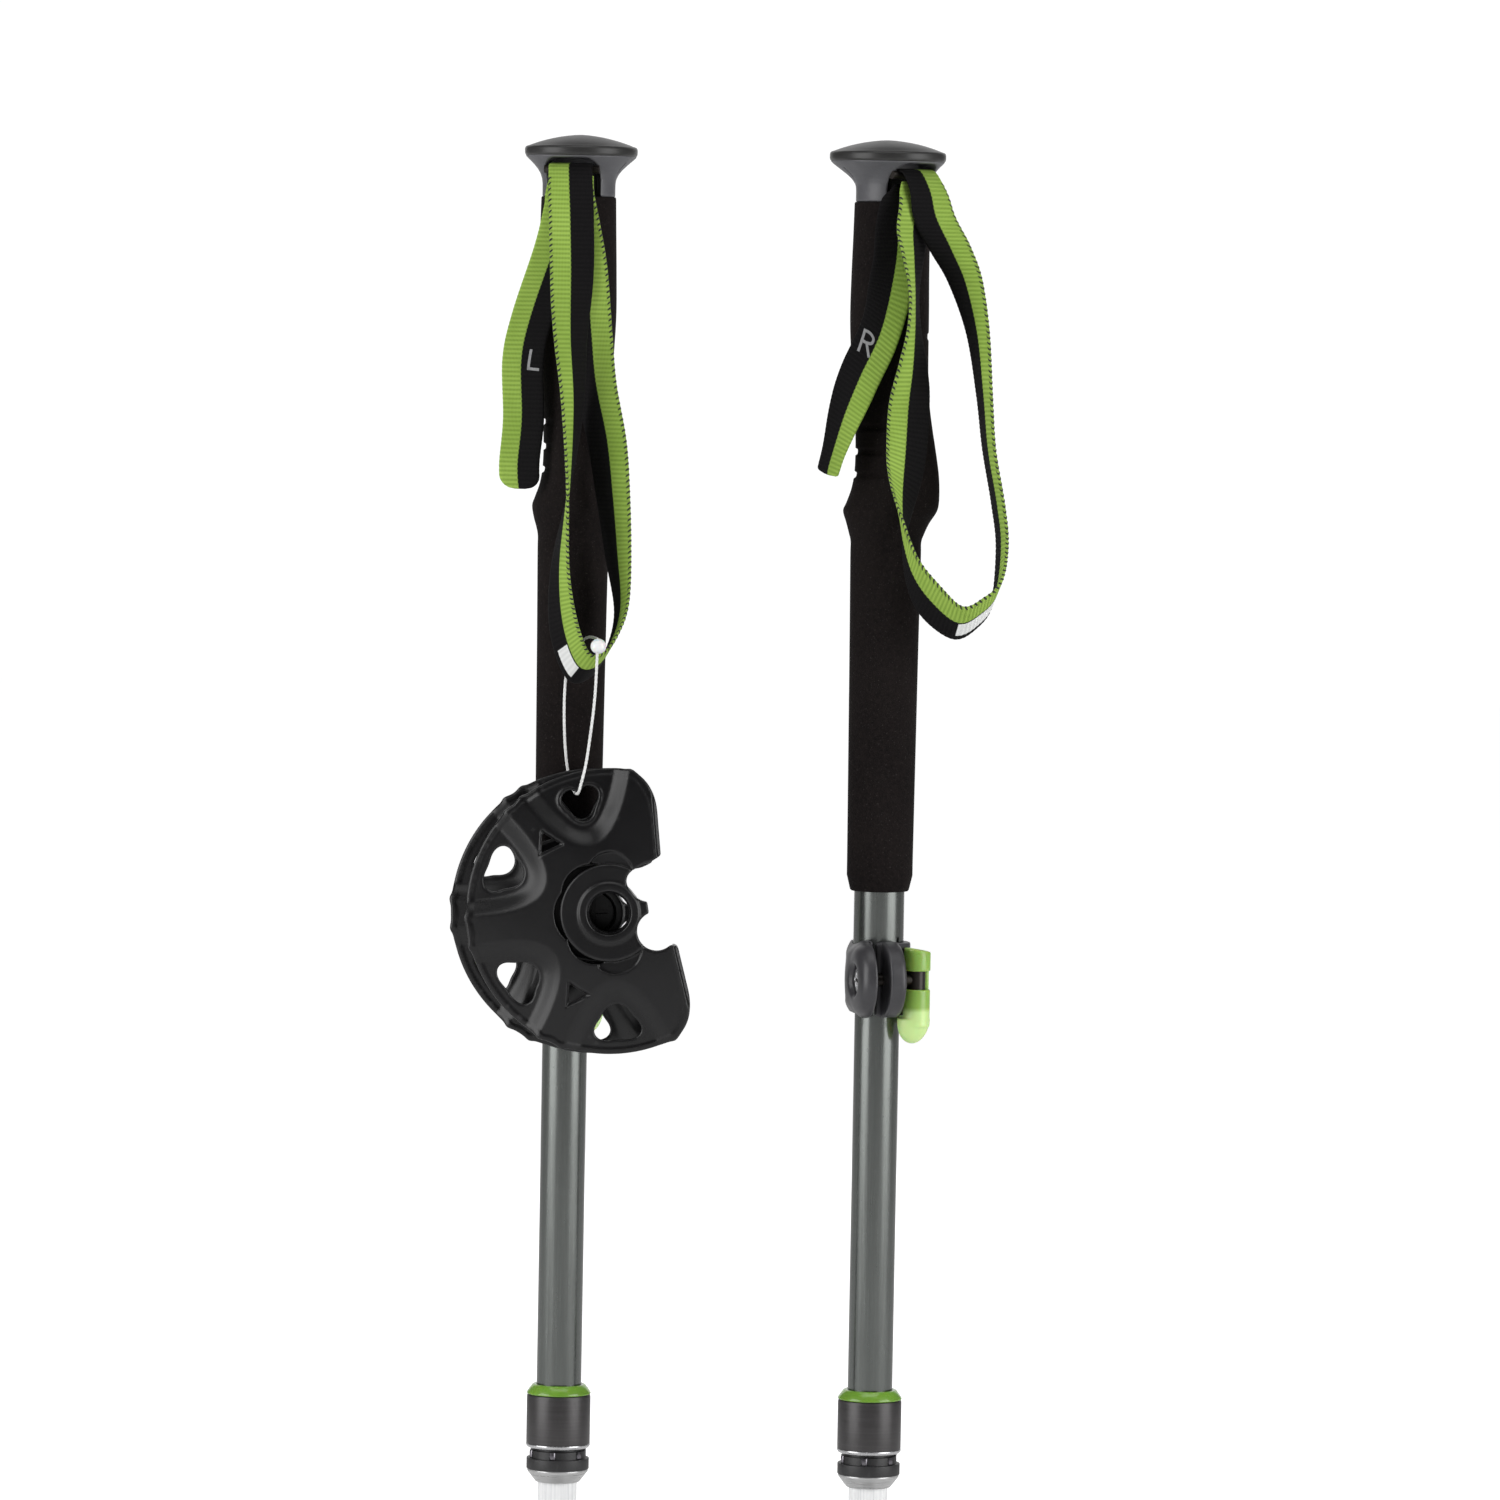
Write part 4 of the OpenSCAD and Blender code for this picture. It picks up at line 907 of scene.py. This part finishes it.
def screw_shape(p):
    x, y, z = p[..., 0], p[..., 1] - SCREW_Y, p[..., 2] - SCREW_Z
    domed = 0.02 * (y * y + z * z) - (x + 11.15)
    d = np.maximum(rod(p, 0, 4.4, (SCREW_Y, SCREW_Z), -11.2, -9.4, 0.5), domed)
    for a, b in ((y, z), (z, y)):
        d = smax(d, -np.maximum(np.maximum(np.abs(a) - 0.55, np.abs(b) - 2.5), x + 9.9), 0.12)
    return d


def clamps(side):
    name, turn = SIDES[side], CLAMP_TURN[side]
    v, f = nets(clamp_shape, (-13.6, -26.5, 307), (13.5, 13, 336), 0.5)
    mesh(f"{name}_clamp_case", put(side, v, turn), f, M["clamp_plastic"], f"{name}_clamp_body")
    v, f = nets(lever_shape, (-9, -18.5, 297.5), (18, 17, 334.5), 0.5)
    mesh(f"{name}_cam_lever", put(side, v, turn), f, M["green_lever"], f"{name}_clamp_lever")
    v, f = nets(screw_shape, (-12.6, -18, 315.5), (-9.3, -6, 327.5), 0.25)
    mesh(f"{name}_cross_screw", put(side, v, turn), f, M["steel"], f"{name}_clamp_screw")
    v, f = lathe([(0, -10.3), (1.97, -10.3), (1.97, 12.4), (1.6, 12.8), (0, 12.8)], 40, 0.1)
    v = np.stack([v[:, 2], v[:, 0] + SCREW_Y, v[:, 1] + SCREW_Z], -1)
    shank = mesh(f"{name}_screw_shank", put(side, v, turn), f, M["dark_steel"], f"{name}_clamp_screw",
                 also=None)
    sharp(weld(shank), 40)


# ---------------------------------------------------------------- shafts and turned parts
def turned(name, side, node, look, profile, n, ease_by, also=()):
    v, f = lathe(profile, n, ease_by)
    o = mesh(f"{SIDES[side]}_{name}", put(side, v), f, M[look], f"{SIDES[side]}_{node}", also=also)
    return sharp(weld(o), 40)


def cut_away(o, boxes):
    """Takes cutters away from a piece."""
    for v, f in boxes:
        me = bpy.data.meshes.new("cutter")
        me.from_pydata(v.tolist(), [], f)
        c = bpy.data.objects.new("cutter", me)
        scene.collection.objects.link(c)
        m = o.modifiers.new("cut", "BOOLEAN")
        m.operation, m.solver, m.object = "DIFFERENCE", "EXACT", c
        new = bpy.data.meshes.new_from_object(o.evaluated_get(bpy.context.evaluated_depsgraph_get()))
        o.modifiers.clear()
        o.data = new
        bpy.data.objects.remove(c)
    return sharp(o, 40)


def block(lo, hi, turn, side):
    v = np.array([(x, y, z) for x in (lo[0], hi[0]) for y in (lo[1], hi[1]) for z in (lo[2], hi[2])], float)
    f = [(0, 1, 3, 2), (4, 6, 7, 5), (0, 4, 5, 1), (2, 3, 7, 6), (0, 2, 6, 4), (1, 5, 7, 3)]
    return put(side, v, turn), f


def bar(r, at, lo, hi, turn, side, n=24):
    """A cutter along local Y."""
    a = np.arange(n) * 2 * math.pi / n
    v = np.concatenate([np.stack([at[0] + r * np.cos(a), np.full(n, y), at[1] + r * np.sin(a)], -1)
                        for y in (lo, hi)])
    f = grid_faces(2, n) + [tuple(range(n))[::-1], tuple(range(n, 2 * n))]
    return put(side, v, turn), f


def shafts(side):
    o = turned("shaft_upper", side, "upper_shaft", "anodised_tube",
               [(8.1, 308.8), (9, 308.8), (9, 597), (8.1, 597)], 128, 0.2)
    t = CLAMP_TURN[side] + 35
    cut_away(o, [block((-0.6, -20, 307), (0.6, 0, 336.4), t, side), bar(1.4, (0, 336.4), -20, 0, t, side)])
    turned("shaft_middle", side, "mid_shaft", "anodised_tube",
           [(7.1, 164), (8, 164), (8, 560), (7.1, 560)], 128, 0.2)
    turned("shaft_lower", side, "lower_shaft", "white_tube",
           [(6.1, 42), (7, 42), (7, 545), (6.1, 545)], 128, 0.2)
    turned("ring_green", side, "collar_ring", "green_ring",
           [(8.02, 169.95), (11.4, 169.95), (11.45, 170.4), (11.2, 170.9), (10.5, 171.9), (9.5, 173.2),
            (9.1, 173.4), (8.02, 173.4)], 112, 0.25)
    turned("collar_sleeve", side, "release_collar", "collar_metal",
           [(10.75, 150.8), (11.0, 150.8), (11.4, 151.5), (11.4, 151.9), (11.32, 152.0), (11.32, 152.3),
            (11.4, 152.4), (11.4, 169.0), (11.2, 169.7), (9.08, 169.7), (9.08, 165.5), (9.9, 164.7),
            (9.9, 162.3), (9.08, 161.5), (9.08, 157), (10.75, 157)], 112, 0.15)
    turned("collar_edge", side, "release_collar", "steel",
           [(10.9, 150.85), (11.0, 150.8), (11.48, 151.5), (11.48, 152.1), (10.9, 152.1)],
           112, 0.1, also=None)
    turned("nose_cone", side, "nose_ring", "light_ring",
           [(7.4, 138.3), (7.9, 138.3), (10.9, 142.2), (10.9, 143), (7.4, 143)], 112, 0.2)
    turned("lock_barrel", side, "lock_housing", "black_plastic",
           [(7.1, 143), (11.2, 143), (11.2, 146.9), (9.9, 146.9), (9.9, 149.7), (9.0, 149.7), (9.0, 169.7),
            (8.0, 169.7), (8.0, 164), (7.1, 164)], 112, 0.15)
    parts_v, parts_f = [], []
    for i in range(6):
        a0 = i * 60 + 20
        base = len(parts_v)
        arc = np.radians(np.linspace(a0 - 5.8, a0 + 5.8, 7))
        for z, r in ((146.95, 10.3), (147.2, 10.45), (149.4, 10.45), (149.65, 10.3)):
            for k, a in enumerate(arc):
                q = r - (0.3 if k in (0, 6) else 0.0)
                parts_v.append((q * math.cos(a), q * math.sin(a), z))
        parts_f += grid_faces(4, 7, False, base)
        back = len(parts_v)
        for z in (146.95, 149.65):
            for a in (arc[0], arc[-1]):
                parts_v.append((9.7 * math.cos(a), 9.7 * math.sin(a), z))
        parts_f += [(back, base, base + 21, back + 2), (base + 6, back + 1, back + 3, base + 27),
                    tuple([back, back + 1] + [base + k for k in range(6, -1, -1)]),
                    tuple([back + 3, back + 2] + [base + 21 + k for k in range(7)])]
    ribs = mesh(f"{SIDES[side]}_lock_ribs", put(side, np.array(parts_v)), parts_f, M["groove_metal"],
                f"{SIDES[side]}_lock_housing", also=None)
    sharp(ribs, 35)
    screw = []
    for i in range(5):
        z = 40 + 2.4 * i
        screw += [(7.45, z), (8.0, z + 0.7), (8.0, z + 1.3), (7.45, z + 2.0)]
    turned("tip_body", side, "flex_tip", "black_plastic",
           [(3.02, 9), (4.6, 9), (5, 9.4), (5, 21), (5.25, 24), (6.6, 36), (7.45, 38)] + screw
           + [(8, 53.4), (8.6, 54), (8.6, 60), (8, 62), (7.02, 62), (7.02, 42), (3.02, 24)], 96, 0.25)
    turned("tip_point", side, "carbide_tip", "steel",
           [(0, 1.2), (1.2, 0.5), (1.65, 0), (2.2, 0.1), (2.5, 3), (2.7, 5), (3, 6), (3, 24), (0, 24)],
           64, 0.15)


TREK_Z = 42.5  # the small basket's underside, millimetres above the point


def trek_shape(p):
    x, y, z = p[..., 0], p[..., 1], p[..., 2] - TREK_Z
    rho, ang = np.hypot(x, y), np.arctan2(y, x)
    top = np.interp(rho, [10, 24.5, 26], [6, 3.3, 2.6])
    low = np.interp(rho, [10, 25, 26], [3, 0, 0.6])
    d = smax(smax(z - top, low - z, 0.4), rho - 26, 0.9)
    d = smin(d, rod(p, 2, 11, (0, 0), TREK_Z, TREK_Z + 9, 0.8), 1.0)
    spoke = np.abs(np.sin(3 * ang)) * rho / 3 - 0.8
    spoke = smax(smax(spoke, z - top - 0.7, 0.4), smax(rho - 24, 10 - rho, 0.5), 0.4)
    d = smin(d, spoke + np.maximum(0, low - z), 0.5)
    d = smax(d, 8.0 - rho, 0.4)
    sector = (ang + math.pi / 6) % (math.pi / 3) - math.pi / 6
    hole = three_sided(rho * np.cos(sector) - 18.2, rho * np.sin(sector), 3.6, 0.12, 1.15)
    return smax(d, -hole, 0.6)


for side in (0, 1):
    hand_grip(side)
    heads(side)
    clamps(side)
    shafts(side)
v, f = nets(trek_shape, (-27, -27, 41.5), (27, 27, 52.5), 0.65)
for side in (0, 1):
    mesh(f"{SIDES[side]}_tip_basket", put(side, v), f, M["black_plastic"],
         f"{SIDES[side]}_trekking_basket")

# ---------------------------------------------------------------- the CAD pieces that stay
KEPT = {"strap_wedge": "black_plastic", "strap_pin": "dark_steel", "clamp_barrel": "dark_steel",
        "clamp_washer": "dark_steel", "mid_bush": "black_plastic", "collar_spring": "spring_steel",
        "lock_balls": "steel", "lower_bush": "black_plastic"}
stay = [(f"{name}_{part}", look) for name in SIDES for part, look in KEPT.items()]
for name, look in stay + [("basket_plug", "basket_plastic")]:
    nodes[name].data.materials.clear()
    nodes[name].data.materials.append(M[look])

# ---------------------------------------------------------------- floor and light
paper = Look("paper", 0.85)
paper.link("Base Color", paper.mix(paper.noise(6.0, 2.0), (0.62, 0.62, 0.62), (0.66, 0.66, 0.66)))
paper.shader.inputs["Emission Color"].default_value = (1, 1, 1, 1)
paper.tree.links.new(paper.span(paper.node("LightPath", {}, out="Is Camera Ray"), 0.0, 1.0, 0.24, 0.95),
                     paper.shader.inputs["Emission Strength"])
me = bpy.data.meshes.new("floor")
w, z = 9.0, -PALM / 1000 - 0.0004
me.from_pydata([(-w, -w, z), (w, -w, z), (w, w, z), (-w, w, z)], [], [(0, 1, 2, 3)])
me.materials.append(paper.mat)
floor = bpy.data.objects.new("floor", me)
scene.collection.objects.link(floor)

world = bpy.data.worlds.new("studio")
scene.world = world
world.use_nodes = True
wt = world.node_tree
dim, clear = wt.nodes["Background"], wt.nodes.new("ShaderNodeBackground")
for background, strength in ((dim, 0.08), (clear, 1.05)):
    background.inputs["Color"].default_value = (1, 1, 1, 1)
    background.inputs["Strength"].default_value = strength
eye = wt.nodes.new("ShaderNodeLightPath")
both = wt.nodes.new("ShaderNodeMixShader")
wt.links.new(eye.outputs["Is Camera Ray"], both.inputs[0])
wt.links.new(dim.outputs[0], both.inputs[1])
wt.links.new(clear.outputs[0], both.inputs[2])
wt.links.new(both.outputs[0], wt.nodes["World Output"].inputs["Surface"])


def softbox(name, at, to, w, h, power):
    light = bpy.data.lights.new(name, "AREA")
    light.shape, light.size, light.size_y, light.energy = "RECTANGLE", w, h, power
    o = bpy.data.objects.new(name, light)
    scene.collection.objects.link(o)
    o.location = at
    o.rotation_euler = (Vector(to) - Vector(at)).to_track_quat("-Z", "Y").to_euler()


MIDDLE = (0.05, 0, -0.15)
softbox("left_box", (-1.32, -0.80, 0.1), MIDDLE, 1.15, 1.9, 24)
softbox("right_box", (1.45, -0.80, 0.1), MIDDLE, 1.15, 1.9, 24)
softbox("back_wall", (0.05, 2.2, 0.5), MIDDLE, 2.6, 2.0, 14)
softbox("top", (0.05, -0.3, 1.7), (0.05, 0, 0), 1.6, 1.2, 10)

scene.view_settings.view_transform = "Standard"
